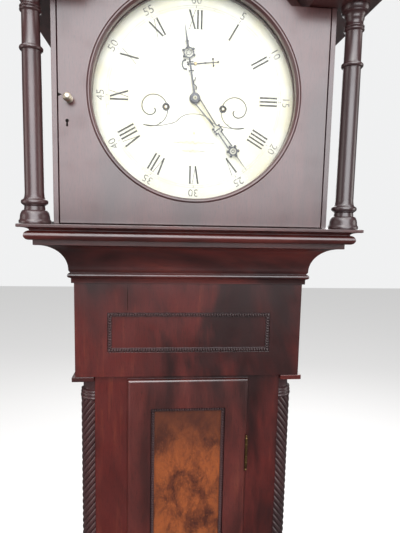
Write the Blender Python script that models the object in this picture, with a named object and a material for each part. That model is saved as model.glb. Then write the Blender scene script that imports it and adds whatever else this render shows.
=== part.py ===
"""Longcase clock: mahogany case, sliding hood, two doors and an eight-day two-train movement.

Metres, +Z up, front towards -Y. The origin is on the floor, under the middle of the clock.
"""
import math

import bmesh
import bpy
from mathutils import Matrix, Vector

# ---------------------------------------------------------------- driving dimensions
GAP = 0.0003                 # clearance between pieces that touch
RUN = 0.00008                # radial running clearance on turning pieces
SIDES = 12                   # sides on small turned pieces

# case, seen from the front (half widths) and in height
BACK_Y = 0.151               # rear face of the backboard
BACKBOARD_T = 0.012
SEAT_Z = 1.600               # top of the hood's base moulding
PLINTH_HALF = 0.225
PLINTH_Z = (0.0402, 0.4367)
BOARD = 0.016                # case boards
SKIRT_H = 0.085
SKIRT_T = 0.012
FOOT_W = 0.075               # bracket foot at each corner
FOOT_ARCH_H = 0.040
TRUNK_HALF = 0.192
TRUNK_FRONT_Y = -0.036
WAIST_Z = (0.437, 0.480)
CLAD = 0.008                 # frieze block stands this far proud of the trunk
FRIEZE_Z = (SEAT_Z - 0.269, SEAT_Z - 0.1003)
FRIEZE_PANEL_HALF = 0.144
FRIEZE_PANEL_Z = (SEAT_Z - 0.2244, SEAT_Z - 0.1533)
SUNK = 0.003                 # depth of the sunk frieze panel
BEAD_W = 0.0065
THROAT_P = 0.052             # projection of the throat moulding
THROAT_Z = (SEAT_Z - 0.100, SEAT_Z - 0.0248)

QCOL_R = 0.0280              # quarter column
QCOL_X = 0.1678              # its centre
QCOL_Z = (0.4803, SEAT_Z - 0.2693)
ABACUS = (0.0383, 0.0085)    # side and height of the square block on top

# trunk door
DOOR_HALF = 0.110            # outside of the lip
DOOR_Z = (SEAT_Z - 1.020, SEAT_Z - 0.2759)
DOOR_LIP_W = 0.0085
DOOR_LIP_T = 0.0065
DOOR_SWING = 0.0025          # clearance that the free edge needs as it swings
DOOR_PANEL_HALF = 0.0677
DOOR_RAIL = 0.0543
PANEL_SINK = 0.006
PANEL_T = 0.006
HINGE_R = 0.0035
HINGE_L = 0.070
HINGE_DROP = 0.108           # from the door's top to the hinge's top

# hood
HOOD_HALF = 0.2209
HOOD_FRONT_Y = -0.0885
HOOD_SIDE_T = 0.008
HOOD_BASE_H = 0.0245
NOSE = 0.0445                # nosing stands this far out from the hood
HOOD_TRAVEL = 0.200
DOOR_STRIP = 0.0093             # from the side board's face to the door's edge
HDOOR_HALF = HOOD_HALF - DOOR_STRIP
HDOOR_T = 0.020
DIAL_Z = SEAT_Z + 0.206      # centre of the dial
SIGHT_R = 0.1616             # visible radius of the dial
SHOULDER_Z = SEAT_Z + 0.3465
HDOOR_ARCH_R = 0.2030           # the door's head passes under the arch as it swings
SOFFIT_Z = SHOULDER_Z + 0.0005
ARCH_R = 0.226               # inside radius of the arched fascia
FASCIA_RISE = 0.062          # height of the fascia over the soffit
FASCIA_T = 0.072             # radial width of the arch
COLUMN_OUT = 0.0271             # column's centre, out from the side board
FASCIA_OVER = 0.030             # end of the fascia, out from the column's centre
FASCIA_HALF = HOOD_HALF + COLUMN_OUT + FASCIA_OVER
FASCIA_OUT = 0.0505          # overhang in front of the hood's door
CORNICE_P = 0.012
CORNICE_H = 0.018
ROOF_T = 0.006
MASK_T = 0.006
GLASS_T = 0.002
GLASS_BACK = 0.014           # rear face of the glass, behind the door's front
HCOL_X = HOOD_HALF + COLUMN_OUT  # free-standing hood columns
HCOL_Y = HOOD_FRONT_Y - 0.0045
HCOL_R = 0.0145
PIVOT_IN = 0.0025            # hood door's hinge pin, in from the corner
PIVOT_R = 0.0015

# movement, from the dial's centre
DIAL_R = 0.1720
DIAL_T = 0.002
DIAL_FRONT_Y = HOOD_FRONT_Y + HDOOR_T + MASK_T + 3 * GAP
PLATE_FRONT_Y = -0.025       # front face of the front plate
PLATE_T = 0.003
PLATE_SPACE = 0.065
PLATE_HALF = 0.080
PLATE_LOW = 0.080
PLATE_HIGH = 0.105
PILLAR_IN_LOW = 0.018           # lower pillars stand inside the lines
PILLAR_IN_HIGH = 0.005          # upper pillars stand clear of the hammer's swing
SEATBOARD_T = 0.018
SEATBOARD_Y = (-0.034, 0.050)
ARBOR_R = 0.0015
PIN_R = 0.0010
WIND_X = 0.0465              # winding arbors
WIND_Z = -0.0146
WIND_R = 0.0030
WIND_HOLE_R = 0.0062
BARREL_R = 0.0260
BARREL_L = 0.039
ESCAPE_Z = 0.0542
ANCHOR_Z = 0.0880
LINE_R = 0.0008
PULLEY_R = 0.0240
PULLEY_T = 0.009
WEIGHT_R = 0.027
WEIGHT_H = 0.200
WEIGHT_LOW_Z = 0.560         # underside of each weight when it has run down
PENDULUM_L = 0.990
BOB_R = 0.055
BOB_T = 0.026

# wheels: teeth and module; each pair gets the module that fits its centre distance
GREAT_T, CENTRE_P = 96, 8
CENTRE_T, THIRD_P = 60, 8
THIRD_T, ESCAPE_P = 56, 7
ESCAPE_T = 30
S_GREAT_T, PIN_P = 78, 8
PIN_T, GATHER_P = 64, 8
GATHER_T, FLY_P = 56, 7
CANNON_T, MINUTE_T = 36, 36
MINUTE_P, HOUR_T = 6, 72
CENTRE_THIRD = 0.0323        # centre distances
THIRD_ESCAPE = 0.0268
CANNON_MINUTE = 0.0270
PIN_AT = (-0.033, 0.027)
GATHER_AT = (-0.038, 0.0554)
FLY_AT = (-0.024, 0.068)
HAMMER_AT = (-0.062, 0.040)
RACK_AT = (-0.052, -0.058)
BELL_R = 0.046
BELL_Z = 0.128

# ---------------------------------------------------------------- derived places
INNER_BACK_Y = BACK_Y - BACKBOARD_T
PLINTH_FRONT_Y = TRUNK_FRONT_Y - (PLINTH_HALF - TRUNK_HALF)
BLOCK_HALF = TRUNK_HALF + CLAD
BLOCK_FRONT_Y = TRUNK_FRONT_Y - CLAD
TRUNK_INNER_Y = TRUNK_FRONT_Y + BOARD
QCOL_Y = TRUNK_FRONT_Y + QCOL_R
HINGE_X = DOOR_HALF - 0.001
HINGE_Y = TRUNK_FRONT_Y - DOOR_LIP_T - 0.0005
HDOOR_BACK_Y = HOOD_FRONT_Y + HDOOR_T
MASK_Y = (HDOOR_BACK_Y + GAP, HDOOR_BACK_Y + GAP + MASK_T)
FASCIA_FRONT_Y = HOOD_FRONT_Y - FASCIA_OUT
PLATE_REAR = PLATE_FRONT_Y + PLATE_T
BACKPLATE_Y = PLATE_REAR + PLATE_SPACE
MID_Y = PLATE_REAR + PLATE_SPACE / 2
BELL_Y = MID_Y + 0.004
PEND_Y = BACKPLATE_Y + PLATE_T + 0.019
SEATBOARD_TOP = DIAL_Z - PLATE_LOW - GAP
HDOOR_LOW = SEAT_Z + 0.0012
HDOOR_HIGH = SHOULDER_Z - 0.001
HDOOR_PIN = (HDOOR_HALF - PIVOT_IN, HOOD_FRONT_Y + PIVOT_IN)

MATERIALS = {
    "mahogany": ((0.13, 0.03, 0.02), 0.25, 0.0),
    "flame_veneer": ((0.32, 0.10, 0.03), 0.25, 0.0),
    "deal": ((0.42, 0.27, 0.14), 0.7, 0.0),
    "brass": ((0.70, 0.50, 0.20), 0.3, 1.0),
    "steel": ((0.35, 0.36, 0.38), 0.35, 1.0),
    "blued_steel": ((0.12, 0.14, 0.18), 0.3, 1.0),
    "iron": ((0.10, 0.10, 0.10), 0.6, 1.0),
    "glass": ((0.9, 0.95, 0.95), 0.05, 0.0),
    "dial_silver": ((0.85, 0.84, 0.78), 0.4, 0.6),
    "gut": ((0.60, 0.45, 0.22), 0.5, 0.0),
    "bell_metal": ((0.55, 0.40, 0.22), 0.3, 1.0),
}


# ---------------------------------------------------------------- tools
def clear_scene():
    for old in list(bpy.data.objects):
        bpy.data.objects.remove(old, do_unlink=True)


def material(name):
    found = bpy.data.materials.get(name)
    if found:
        return found
    colour, rough, metal = MATERIALS[name]
    made = bpy.data.materials.new(name)
    made.use_nodes = True
    shader = made.node_tree.nodes["Principled BSDF"]
    shader.inputs["Base Color"].default_value = (*colour, 1.0)
    shader.inputs["Roughness"].default_value = rough
    shader.inputs["Metallic"].default_value = metal
    made.diffuse_color = (*colour, 1.0)
    return made


def to_object(bm, name, slot, smooth=None):
    """Close a bmesh into an object; faces turn outwards."""
    bmesh.ops.remove_doubles(bm, verts=bm.verts, dist=1e-6)
    bmesh.ops.recalc_face_normals(bm, faces=bm.faces)
    mesh = bpy.data.meshes.new(name)
    bm.to_mesh(mesh)
    bm.free()
    mesh.materials.append(material(slot))
    made = bpy.data.objects.new(name, mesh)
    bpy.context.scene.collection.objects.link(made)
    if smooth:
        mesh.shade_smooth()
        mesh.set_sharp_from_angle(angle=math.radians(smooth))
    return made


def pivot(name, place, parent=None):
    """An empty on a joint's axis, or at the middle of a fixed group."""
    made = bpy.data.objects.new(name, None)
    made.empty_display_size = 0.02
    bpy.context.scene.collection.objects.link(made)
    start = Vector((0, 0, 0))
    if parent:
        made.parent = parent
        start = world_place(parent)
    made.location = Vector(place) - start
    return made


def world_place(made):
    total = made.location.copy()
    while made.parent:
        made = made.parent
        total += made.location
    return total


def attach(made, parent):
    """Move an object's origin onto its parent's place and parent it."""
    made.data.transform(Matrix.Translation(-world_place(parent)))
    made.parent = parent
    return made


def box(name, slot, low, high):
    bm = bmesh.new()
    bmesh.ops.create_cube(bm, size=1)
    size = [high[i] - low[i] for i in range(3)]
    centre = [(high[i] + low[i]) / 2 for i in range(3)]
    bmesh.ops.scale(bm, vec=size, verts=bm.verts)
    bmesh.ops.translate(bm, vec=centre, verts=bm.verts)
    return to_object(bm, name, slot)


def prism(name, slot, outline, low_y, high_y, smooth=None):
    """Extrude an outline in X and Z along Y."""
    bm = bmesh.new()
    face = bm.faces.new([bm.verts.new((x, low_y, z)) for x, z in outline])
    pushed = bmesh.ops.extrude_face_region(bm, geom=[face])
    moved = [v for v in pushed["geom"] if isinstance(v, bmesh.types.BMVert)]
    bmesh.ops.translate(bm, vec=(0, high_y - low_y, 0), verts=moved)
    return to_object(bm, name, slot, smooth)


def turned(name, slot, profile, centre, sides=SIDES, axis="Z", angle=math.tau, smooth=40, start=0.0):
    """Turn a profile of (radius, distance along the axis) about a vertical or a fore-and-aft axis."""
    bm = bmesh.new()
    along = Vector((0, 0, 1)) if axis == "Z" else Vector((0, 1, 0))
    out = Matrix.Rotation(start, 3, along) @ Vector((1, 0, 0))
    line = [bm.verts.new(out * r + along * h) for r, h in profile]
    edges = [bm.edges.new(pair) for pair in zip(line, line[1:])]
    full = abs(angle - math.tau) < 1e-6
    bmesh.ops.spin(bm, geom=line + edges, cent=(0, 0, 0), axis=along, angle=angle, steps=sides,
                   use_merge=full)
    bmesh.ops.remove_doubles(bm, verts=bm.verts, dist=1e-6)
    if not full:
        bmesh.ops.holes_fill(bm, edges=[e for e in bm.edges if e.is_boundary], sides=0)
    bmesh.ops.translate(bm, vec=centre, verts=bm.verts)
    return to_object(bm, name, slot, smooth)


def rod(name, slot, radius, x, z, low_y, high_y, sides=SIDES):
    """A round rod along Y."""
    profile = [(0, low_y), (radius, low_y), (radius, high_y), (0, high_y)]
    return turned(name, slot, profile, (x, 0, z), sides, "Y")


def mitred(name, slot, half, front_y, profile, back_y=BACK_Y, smooth=None):
    """Run a closed profile of (out, z) along the left side, the front and the right side."""
    bm = bmesh.new()
    rails = []
    for out, z in profile:
        reach = half + out
        turn_y = front_y - out
        stops = [(-reach, back_y), (-reach, turn_y), (reach, turn_y), (reach, back_y)]
        rails.append([bm.verts.new((x, y, z)) for x, y in stops])
    loops = list(zip(rails, rails[1:] + rails[:1]))
    for one, two in loops:
        for i in range(3):
            bm.faces.new((one[i], one[i + 1], two[i + 1], two[i]))
    bm.faces.new([rail[0] for rail in rails])
    bm.faces.new([rail[3] for rail in rails])
    return to_object(bm, name, slot, smooth)


def combine(main, others, operation):
    """Apply Booleans of the other objects to the main one, then remove them.

    The exact solver goes first; the manifold solver takes over where faces that nearly touch leave it open.
    """
    source = main.data
    for solver in ("EXACT", "MANIFOLD"):
        main.data = source
        for other in others:
            step = main.modifiers.new("step", "BOOLEAN")
            step.operation = operation
            step.solver = solver
            step.object = other
        bpy.context.view_layer.update()
        graph = bpy.context.evaluated_depsgraph_get()
        result = bpy.data.meshes.new_from_object(main.evaluated_get(graph))
        main.modifiers.clear()
        bm = bmesh.new()
        bm.from_mesh(result)
        bmesh.ops.remove_doubles(bm, verts=bm.verts, dist=2e-6)
        bmesh.ops.dissolve_degenerate(bm, edges=bm.edges, dist=1e-6)
        closed = all(edge.is_manifold for edge in bm.edges)
        bm.to_mesh(result)
        bm.free()
        main.data = result
        if closed:
            break
    for other in others:
        bpy.data.objects.remove(other, do_unlink=True)
    return main


def fuse(main, *others):
    return combine(main, others, "UNION")


def cut(main, *others):
    return combine(main, others, "DIFFERENCE")


def arc(cx, cz, radius, start, stop, steps):
    """Points on an arc, in degrees from +X."""
    span = stop - start
    turns = [math.radians(start + span * i / steps) for i in range(steps + 1)]
    return [(cx + radius * math.cos(t), cz + radius * math.sin(t)) for t in turns]


def wheel_outline(teeth, pitch_r, module, x, z, phase=0.0, tip=0.5):
    """Pointed teeth with a V gap: room on both flanks at any angle."""
    points = []
    pitch = math.tau / teeth
    for i in range(teeth):
        for turn, reach in ((phase + i * pitch, tip), (phase + (i + 0.5) * pitch, -0.85)):
            radius = pitch_r + reach * module
            points.append((x + radius * math.cos(turn), z + radius * math.sin(turn)))
    return points


def pair(teeth_a, teeth_b, distance):
    """Module and pitch radii of two meshing wheels at a centre distance."""
    module = 2 * distance / (teeth_a + teeth_b)
    return module, module * teeth_a / 2, module * teeth_b / 2


def mesh_phase(angle_to_other, teeth, in_gap):
    """Phase that puts a tooth, or a gap, on the line to the other wheel."""
    shift = math.pi / teeth if in_gap else 0.0
    return angle_to_other + shift


def bearing(wheel_at, other_at):
    return math.atan2(other_at[1] - wheel_at[1], other_at[0] - wheel_at[0])


def at_dial(place):
    """From the dial's centre to the frame."""
    return place[0], DIAL_Z + place[1]


# ---------------------------------------------------------------- case
def plinth(case):
    low, high = PLINTH_Z
    section = [(-BOARD, low), (0, low), (0, high), (-BOARD, high)]
    carcase = mitred("plinth_box", "mahogany", PLINTH_HALF, PLINTH_FRONT_Y, section, INNER_BACK_Y - GAP)
    panel_half = PLINTH_HALF - 0.050
    bottom, top = low + SKIRT_H + 0.035, high - 0.045
    panel = box("panel", "flame_veneer", (-panel_half, PLINTH_FRONT_Y - 0.004, bottom),
                (panel_half, PLINTH_FRONT_Y + 0.001, top))
    attach(fuse(carcase, panel), case)
    ogee = [(0, 0), (SKIRT_T, 0), (SKIRT_T, SKIRT_H - 0.016), (SKIRT_T - 0.003, SKIRT_H - 0.010),
            (0.004, SKIRT_H - 0.004), (0.003, SKIRT_H), (0, SKIRT_H)]
    skirt = mitred("plinth_skirting", "mahogany", PLINTH_HALF + GAP, PLINTH_FRONT_Y - GAP, ogee)
    reach = PLINTH_HALF + SKIRT_T - FOOT_W
    front = PLINTH_FRONT_Y - SKIRT_T
    shape = [(-reach, -0.01), (reach, -0.01), (reach, 0.012), (reach - 0.03, FOOT_ARCH_H),
             (-reach + 0.03, FOOT_ARCH_H), (-reach, 0.012)]
    gap_front = prism("gap_front", "deal", shape, front - 0.02, PLINTH_FRONT_Y + 0.01)
    side_low, side_high = front + FOOT_W, BACK_Y - FOOT_W
    gap_sides = box("gap_sides", "deal", (-0.3, side_low, -0.01), (0.3, side_high, FOOT_ARCH_H))
    attach(cut(skirt, gap_front, gap_sides), case)


def waist(case):
    low, high = WAIST_Z
    step = PLINTH_HALF - TRUNK_HALF
    cove = [(step - 0.002 - r, z) for r, z in
            ((step * 0.30, low + 0.018), (step * 0.62, low + 0.026), (step * 0.82, high - 0.006))]
    section = [(GAP, low + GAP), (step + 0.006, low + GAP), (step + 0.008, low + 0.007),
               (step + 0.005, low + 0.012), (step - 0.002, low + 0.013)] + cove + [(0.003, high),
                                                                                   (GAP, high)]
    attach(mitred("waist_moulding", "mahogany", TRUNK_HALF, TRUNK_FRONT_Y, section), case)


def trunk(case):
    low = WAIST_Z[0] + 0.002
    front_high = THROAT_Z[1]
    front = box("trunk_front", "mahogany", (-QCOL_X + GAP, TRUNK_FRONT_Y, low),
                (QCOL_X - GAP, TRUNK_INNER_Y, front_high))
    inner_half = DOOR_HALF - DOOR_LIP_W + 0.0045
    hole = box("door_hole", "deal", (-inner_half, TRUNK_FRONT_Y - 0.05, DOOR_Z[0] + 0.005),
               (inner_half - 0.001, TRUNK_INNER_Y + 0.05, DOOR_Z[1] - 0.005))
    attach(cut(front, hole), case)
    cheek_top = SEATBOARD_TOP - SEATBOARD_T - GAP
    for name, side in (("trunk_side_left", -1), ("trunk_side_right", 1)):
        near, far = side * (TRUNK_HALF - BOARD), side * TRUNK_HALF
        board = box(name, "mahogany", (min(near, far), QCOL_Y + GAP, low),
                    (max(near, far), INNER_BACK_Y - GAP, cheek_top))
        attach(board, case)


def backboard(case):
    narrow = TRUNK_HALF - BOARD - 2 * GAP
    wide = HOOD_HALF - HOOD_SIDE_T - 2 * RUN
    crown_r = ARCH_R + FASCIA_T - 0.020
    angle = math.degrees(math.acos(wide / crown_r))
    crown = arc(0, DIAL_Z, crown_r, angle, 180 - angle, 12)
    foot = PLINTH_Z[0]
    outline = ([(-TRUNK_HALF, foot), (TRUNK_HALF, foot), (TRUNK_HALF, SEAT_Z - 0.0260),
                (narrow, SEAT_Z - 0.0260), (narrow, SEAT_Z + 0.001), (wide, SEAT_Z + 0.001)]
               + crown + [(-wide, SEAT_Z + 0.001), (-narrow, SEAT_Z + 0.001),
                          (-narrow, SEAT_Z - 0.0260), (-TRUNK_HALF, SEAT_Z - 0.0260)])
    attach(prism("backboard", "deal", outline, INNER_BACK_Y, BACK_Y), case)


def frieze_and_throat(case):
    """The frieze block and the throat moulding are worked on one body round three sides."""
    low, high = FRIEZE_Z[0], THROAT_Z[1]
    hollow_low, hollow_high = SEAT_Z - 0.078, SEAT_Z - 0.034
    rise, run = hollow_high - hollow_low, THROAT_P - 0.010
    cavetto = [(0.007 + run * (1 - math.cos(t)), hollow_low + rise * math.sin(t))
               for t in (math.radians(15 * i) for i in range(7))]
    section = ([(-CLAD + GAP, low), (0, low), (0, THROAT_Z[0]), (0.004, THROAT_Z[0]),
                (0.004, SEAT_Z - 0.0915),
                (0.0085, SEAT_Z - 0.0895), (0.0095, SEAT_Z - 0.0865), (0.0085, SEAT_Z - 0.0830),
                (0.005, SEAT_Z - 0.0810)] + cavetto
               + [(THROAT_P, hollow_high + 0.0005), (THROAT_P, high), (-CLAD + GAP, high)])
    body = mitred("frieze_and_throat", "mahogany", BLOCK_HALF, BLOCK_FRONT_Y, section)
    sunk = box("sunk", "deal", (-FRIEZE_PANEL_HALF, BLOCK_FRONT_Y - 0.01, FRIEZE_PANEL_Z[0]),
               (FRIEZE_PANEL_HALF, BLOCK_FRONT_Y + SUNK, FRIEZE_PANEL_Z[1]))
    attach(cut(body, sunk), case)
    attach(bead_frame("frieze_bead", FRIEZE_PANEL_HALF - GAP, FRIEZE_PANEL_Z[0] + GAP,
                      FRIEZE_PANEL_Z[1] - GAP, BLOCK_FRONT_Y + SUNK - GAP), case)


def bead_frame(name, half, low, high, back_y):
    """A square-cut ring that stands for a run of beading."""
    front_y = back_y - SUNK - 0.001
    ring = box(name, "mahogany", (-half, front_y, low), (half, back_y, high))
    hole = box("hole", "deal", (-half + BEAD_W, front_y - 0.01, low + BEAD_W),
               (half - BEAD_W, back_y + 0.01, high - BEAD_W))
    return cut(ring, hole)


def quarter_columns(case):
    low, high = QCOL_Z
    top = high - ABACUS[1]
    r = QCOL_R
    profile = [(0, low), (r + 0.002, low), (r + 0.002, low + 0.030), (r, low + 0.036), (r, low + 0.050),
               (r + 0.001, low + 0.058), (r - 0.0015, low + 0.066), (r - 0.0005, top - 0.046),
               (r + 0.0015, top - 0.042), (r + 0.0015, top - 0.036), (r - 0.001, top - 0.033),
               (r + 0.001, top - 0.028), (r - 0.002, top - 0.022), (r - 0.002, top - 0.010), (r, top),
               (0, top)]
    for name, side, start in (("quarter_column_left", -1, 180), ("quarter_column_right", 1, 270)):
        shaft = turned(name, "mahogany", profile, (side * QCOL_X, QCOL_Y, 0), 6, "Z", math.tau / 4, 30,
                       math.radians(start))
        near, far = side * QCOL_X, side * (QCOL_X + ABACUS[0])
        block = box("abacus", "mahogany", (min(near, far), QCOL_Y - ABACUS[0] + 0.0022, top - 0.0001),
                    (max(near, far), QCOL_Y, high))
        attach(fuse(shaft, block), case)


def seatboard(case):
    front, back = SEATBOARD_Y
    half = TRUNK_HALF - 0.001
    slots = []
    board = box("seatboard", "deal", (-half, front, SEATBOARD_TOP - SEATBOARD_T),
                (half, back, SEATBOARD_TOP))
    for train in ("going", "strike"):
        x = line_x(train)
        slots.append(box("slot", "deal", (x - 0.006, front - 0.01, SEATBOARD_TOP - 0.05),
                         (x + 0.006, MID_Y + 0.008, SEATBOARD_TOP + 0.05)))
    attach(cut(board, *slots), case)


# ---------------------------------------------------------------- trunk door
def trunk_door(door):
    low, high = DOOR_Z
    front = TRUNK_FRONT_Y - GAP
    slab_half = DOOR_HALF - DOOR_LIP_W
    slab = box("trunk_door_frame", "mahogany", (-slab_half, front - 0.001, low + DOOR_LIP_W),
               (slab_half, TRUNK_INNER_Y, high - DOOR_LIP_W))
    lip = box("lip", "mahogany", (-DOOR_HALF, front - DOOR_LIP_T, low), (DOOR_HALF, front, high))
    fuse(slab, lip)
    p_half, p_low, p_high = DOOR_PANEL_HALF, low + DOOR_RAIL, high - DOOR_RAIL
    hole = box("hole", "deal", (-p_half, front - 0.05, p_low), (p_half, TRUNK_INNER_Y + 0.05, p_high))
    notches = []
    for top in hinge_tops():
        notches.append(box("notch", "deal", (slab_half, front - 0.05, top - HINGE_L - GAP),
                           (HINGE_X + 0.05, front + 0.0001, top + GAP)))
    attach(cut(slab, hole, *notches), door)
    panel_front = front - DOOR_LIP_T + PANEL_SINK
    panel = box("trunk_door_panel", "flame_veneer", (-p_half + GAP, panel_front, p_low + GAP),
                (p_half - GAP, panel_front + PANEL_T, p_high - GAP))
    attach(panel, door)
    attach(bead_frame("trunk_door_bead", p_half - GAP, p_low + GAP, p_high - GAP, panel_front - GAP), door)
    lock = box("trunk_door_lock", "brass", (-slab_half + 0.004, TRUNK_INNER_Y + GAP,
                                            (low + high) / 2 - 0.025),
               (-slab_half + 0.034, TRUNK_INNER_Y + 0.010, (low + high) / 2 + 0.025))
    attach(lock, door)


def hinge_tops():
    return DOOR_Z[1] - HINGE_DROP, DOOR_Z[0] + HINGE_DROP + HINGE_L


def trunk_hinges(door):
    """Each hinge is a knuckle outside the case with a leaf on the edge of the door."""
    edge = DOOR_HALF - DOOR_LIP_W + GAP
    for name, top in zip(("trunk_door_hinge_upper", "trunk_door_hinge_lower"), hinge_tops()):
        low = top - HINGE_L
        r = HINGE_R - GAP
        profile = [(0, low + GAP), (0.002, low + 0.001), (r, low + 0.006), (r, top - 0.006),
                   (0.002, top - 0.001), (0, top - GAP)]
        knuckle = turned(name, "brass", profile, (HINGE_X, HINGE_Y, 0), 8)
        leaf = box("leaf", "brass", (edge, HINGE_Y, low + 0.007),
                   (edge + 0.0012, TRUNK_INNER_Y, top - 0.007))
        bridge = box("bridge", "brass", (edge, HINGE_Y - 0.0006, low + 0.007),
                     (HINGE_X, HINGE_Y + 0.0006, top - 0.007))
        attach(fuse(knuckle, leaf, bridge), door)


# ---------------------------------------------------------------- hood
def break_arch(half, low, shoulder, radius, steps):
    """A rectangle with a round head on its dial centre."""
    angle = math.degrees(math.asin((shoulder - DIAL_Z) / radius))
    return ([(-half, low), (half, low), (half, shoulder)] + arc(0, DIAL_Z, radius, angle, 180 - angle, steps)
            + [(-half, shoulder)])


def hood_base(hood):
    top, low = SEAT_Z, SEAT_Z - HOOD_BASE_H
    inner = TRUNK_HALF + 0.002 - HOOD_HALF
    torus_r = 0.007
    torus = [(NOSE - 0.0145 + torus_r * math.cos(t), low + torus_r + torus_r * math.sin(t))
             for t in (math.radians(-90 + 30 * i) for i in range(7))]
    section = ([(inner, low)] + torus + [(NOSE - 0.0150, top - 0.0098), (NOSE - 0.0100, top - 0.0062),
               (NOSE - 0.0035, top - 0.0050), (NOSE, top - 0.0045), (NOSE, top), (inner, top)])
    base = mitred("hood_base_moulding", "mahogany", HOOD_HALF, HOOD_FRONT_Y, section)
    attach(fuse(base, hinge_pin(top - 0.002, HDOOR_LOW + 0.012)), hood)


def hinge_pin(low, high):
    """Pin that the hood door turns on."""
    profile = [(0, low), (PIVOT_R, low), (PIVOT_R, high), (0, high)]
    return turned("pin", "brass", profile, (*HDOOR_PIN, 0), 8)


def hood_shell(hood):
    """Two side boards and the thin bent roof behind the arch, as one open-fronted body."""
    inside = HOOD_HALF - HOOD_SIDE_T
    half = inside - GAP
    outer_r = ARCH_R + FASCIA_T - 0.020
    inner_r = outer_r - ROOF_T
    a_out = math.degrees(math.acos(half / outer_r))
    a_in = math.degrees(math.acos((half - ROOF_T) / inner_r))
    foot = SHOULDER_Z - 0.012
    outline = (arc(0, DIAL_Z, outer_r, a_out, 180 - a_out, 16) + [(-half, foot), (-half + ROOF_T, foot)]
               + arc(0, DIAL_Z, inner_r, 180 - a_in, a_in, 16) + [(half - ROOF_T, foot), (half, foot)])
    shell = prism("hood_shell", "mahogany", outline, MASK_Y[1] + GAP, INNER_BACK_Y - GAP)
    for side in (-1, 1):
        near, far = side * inside, side * HOOD_HALF
        board = box("side", "mahogany", (min(near, far), HOOD_FRONT_Y, SEAT_Z + GAP),
                    (max(near, far), BACK_Y, SHOULDER_Z - GAP))
        near, far = side * (half - ROOF_T / 2), side * (inside + HOOD_SIDE_T / 2)
        key = box("key", "mahogany", (min(near, far), MASK_Y[1] + GAP, foot),
                  (max(near, far), INNER_BACK_Y - GAP, SHOULDER_Z - 0.001))
        fuse(shell, board, key)
    attach(shell, hood)
    mask = prism("hood_mask", "mahogany", break_arch(half, SEAT_Z + GAP, SHOULDER_Z, ARCH_R - GAP, 16),
                 *MASK_Y)
    sight = rod("sight", "deal", SIGHT_R + 0.001, 0, DIAL_Z, MASK_Y[0] - 0.01, MASK_Y[1] + 0.01, 48)
    attach(cut(mask, sight), hood)


def hood_head(low, high, reach, inner_r, outer_low_r, outer_high_r, front):
    """A break-arched band with a wing running back along each side."""
    back = MASK_Y[1]
    inner = math.degrees(math.asin((low - DIAL_Z) / inner_r))
    outer = math.degrees(math.asin((high - DIAL_Z) / outer_high_r))
    outline = ([(-reach, low)] + arc(0, DIAL_Z, inner_r, 180 - inner, inner, 16) + [(reach, low),
                                                                                    (reach, high)]
               + arc(0, DIAL_Z, outer_high_r, outer, 180 - outer, 16) + [(-reach, high)])
    head = prism("head", "mahogany", outline, front, back)
    for side in (-1, 1):
        near, far = side * (HOOD_HALF - HOOD_SIDE_T), side * reach
        wing = box("wing", "mahogany", (min(near, far), back - 0.002, low), (max(near, far), BACK_Y, high))
        fuse(head, wing)
    return head


def hood_pediment(hood):
    """Arched fascia over the door, the entablature down each side, and the cornice that follows them."""
    outer_r = ARCH_R + FASCIA_T
    top = SOFFIT_Z + FASCIA_RISE
    head = hood_head(SOFFIT_Z, top, FASCIA_HALF, ARCH_R, outer_r, outer_r, FASCIA_FRONT_Y)
    head.name = "hood_pediment"
    crown = hood_head(top - 0.0005, top + CORNICE_H, FASCIA_HALF + CORNICE_P, outer_r - 0.0005, outer_r,
                      outer_r + CORNICE_H, FASCIA_FRONT_Y - CORNICE_P)
    pin = hinge_pin(HDOOR_HIGH - 0.012, SOFFIT_Z + 0.002)
    attach(fuse(head, crown, pin), hood)
    base = DIAL_Z + outer_r + CORNICE_H + GAP
    profile = [(0, base), (0.016, base), (0.016, base + 0.012), (0.009, base + 0.017), (0.007, base + 0.024),
               (0.012, base + 0.030), (0.021, base + 0.043), (0.022, base + 0.052), (0.017, base + 0.062),
               (0.008, base + 0.070), (0.004, base + 0.080), (0, base + 0.098)]
    attach(turned("hood_finial", "brass", profile, (0, (FASCIA_FRONT_Y + MASK_Y[1]) / 2, 0), 16), hood)


def hood_columns(hood):
    low, high = SEAT_Z + GAP, SOFFIT_Z - GAP
    r = HCOL_R
    profile = [(0, low), (0.0238, low), (0.0238, low + 0.004), (0.0215, low + 0.008), (0.0165, low + 0.018),
               (0.0150, low + 0.026), (0.0192, low + 0.030), (0.0192, low + 0.037), (r, low + 0.042),
               (r, high - 0.090), (0.0182, high - 0.086), (0.0182, high - 0.080), (r - 0.001, high - 0.076),
               (r - 0.0015, high - 0.034), (0.0170, high - 0.030), (0.0170, high - 0.022),
               (0.0145, high - 0.019), (0.0150, high - 0.012), (0.0200, high - 0.006), (0.0200, high),
               (0, high)]
    for name, side in (("hood_column_left", -1), ("hood_column_right", 1)):
        attach(turned(name, "mahogany", profile, (side * HCOL_X, HCOL_Y, 0), 16), hood)


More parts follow.
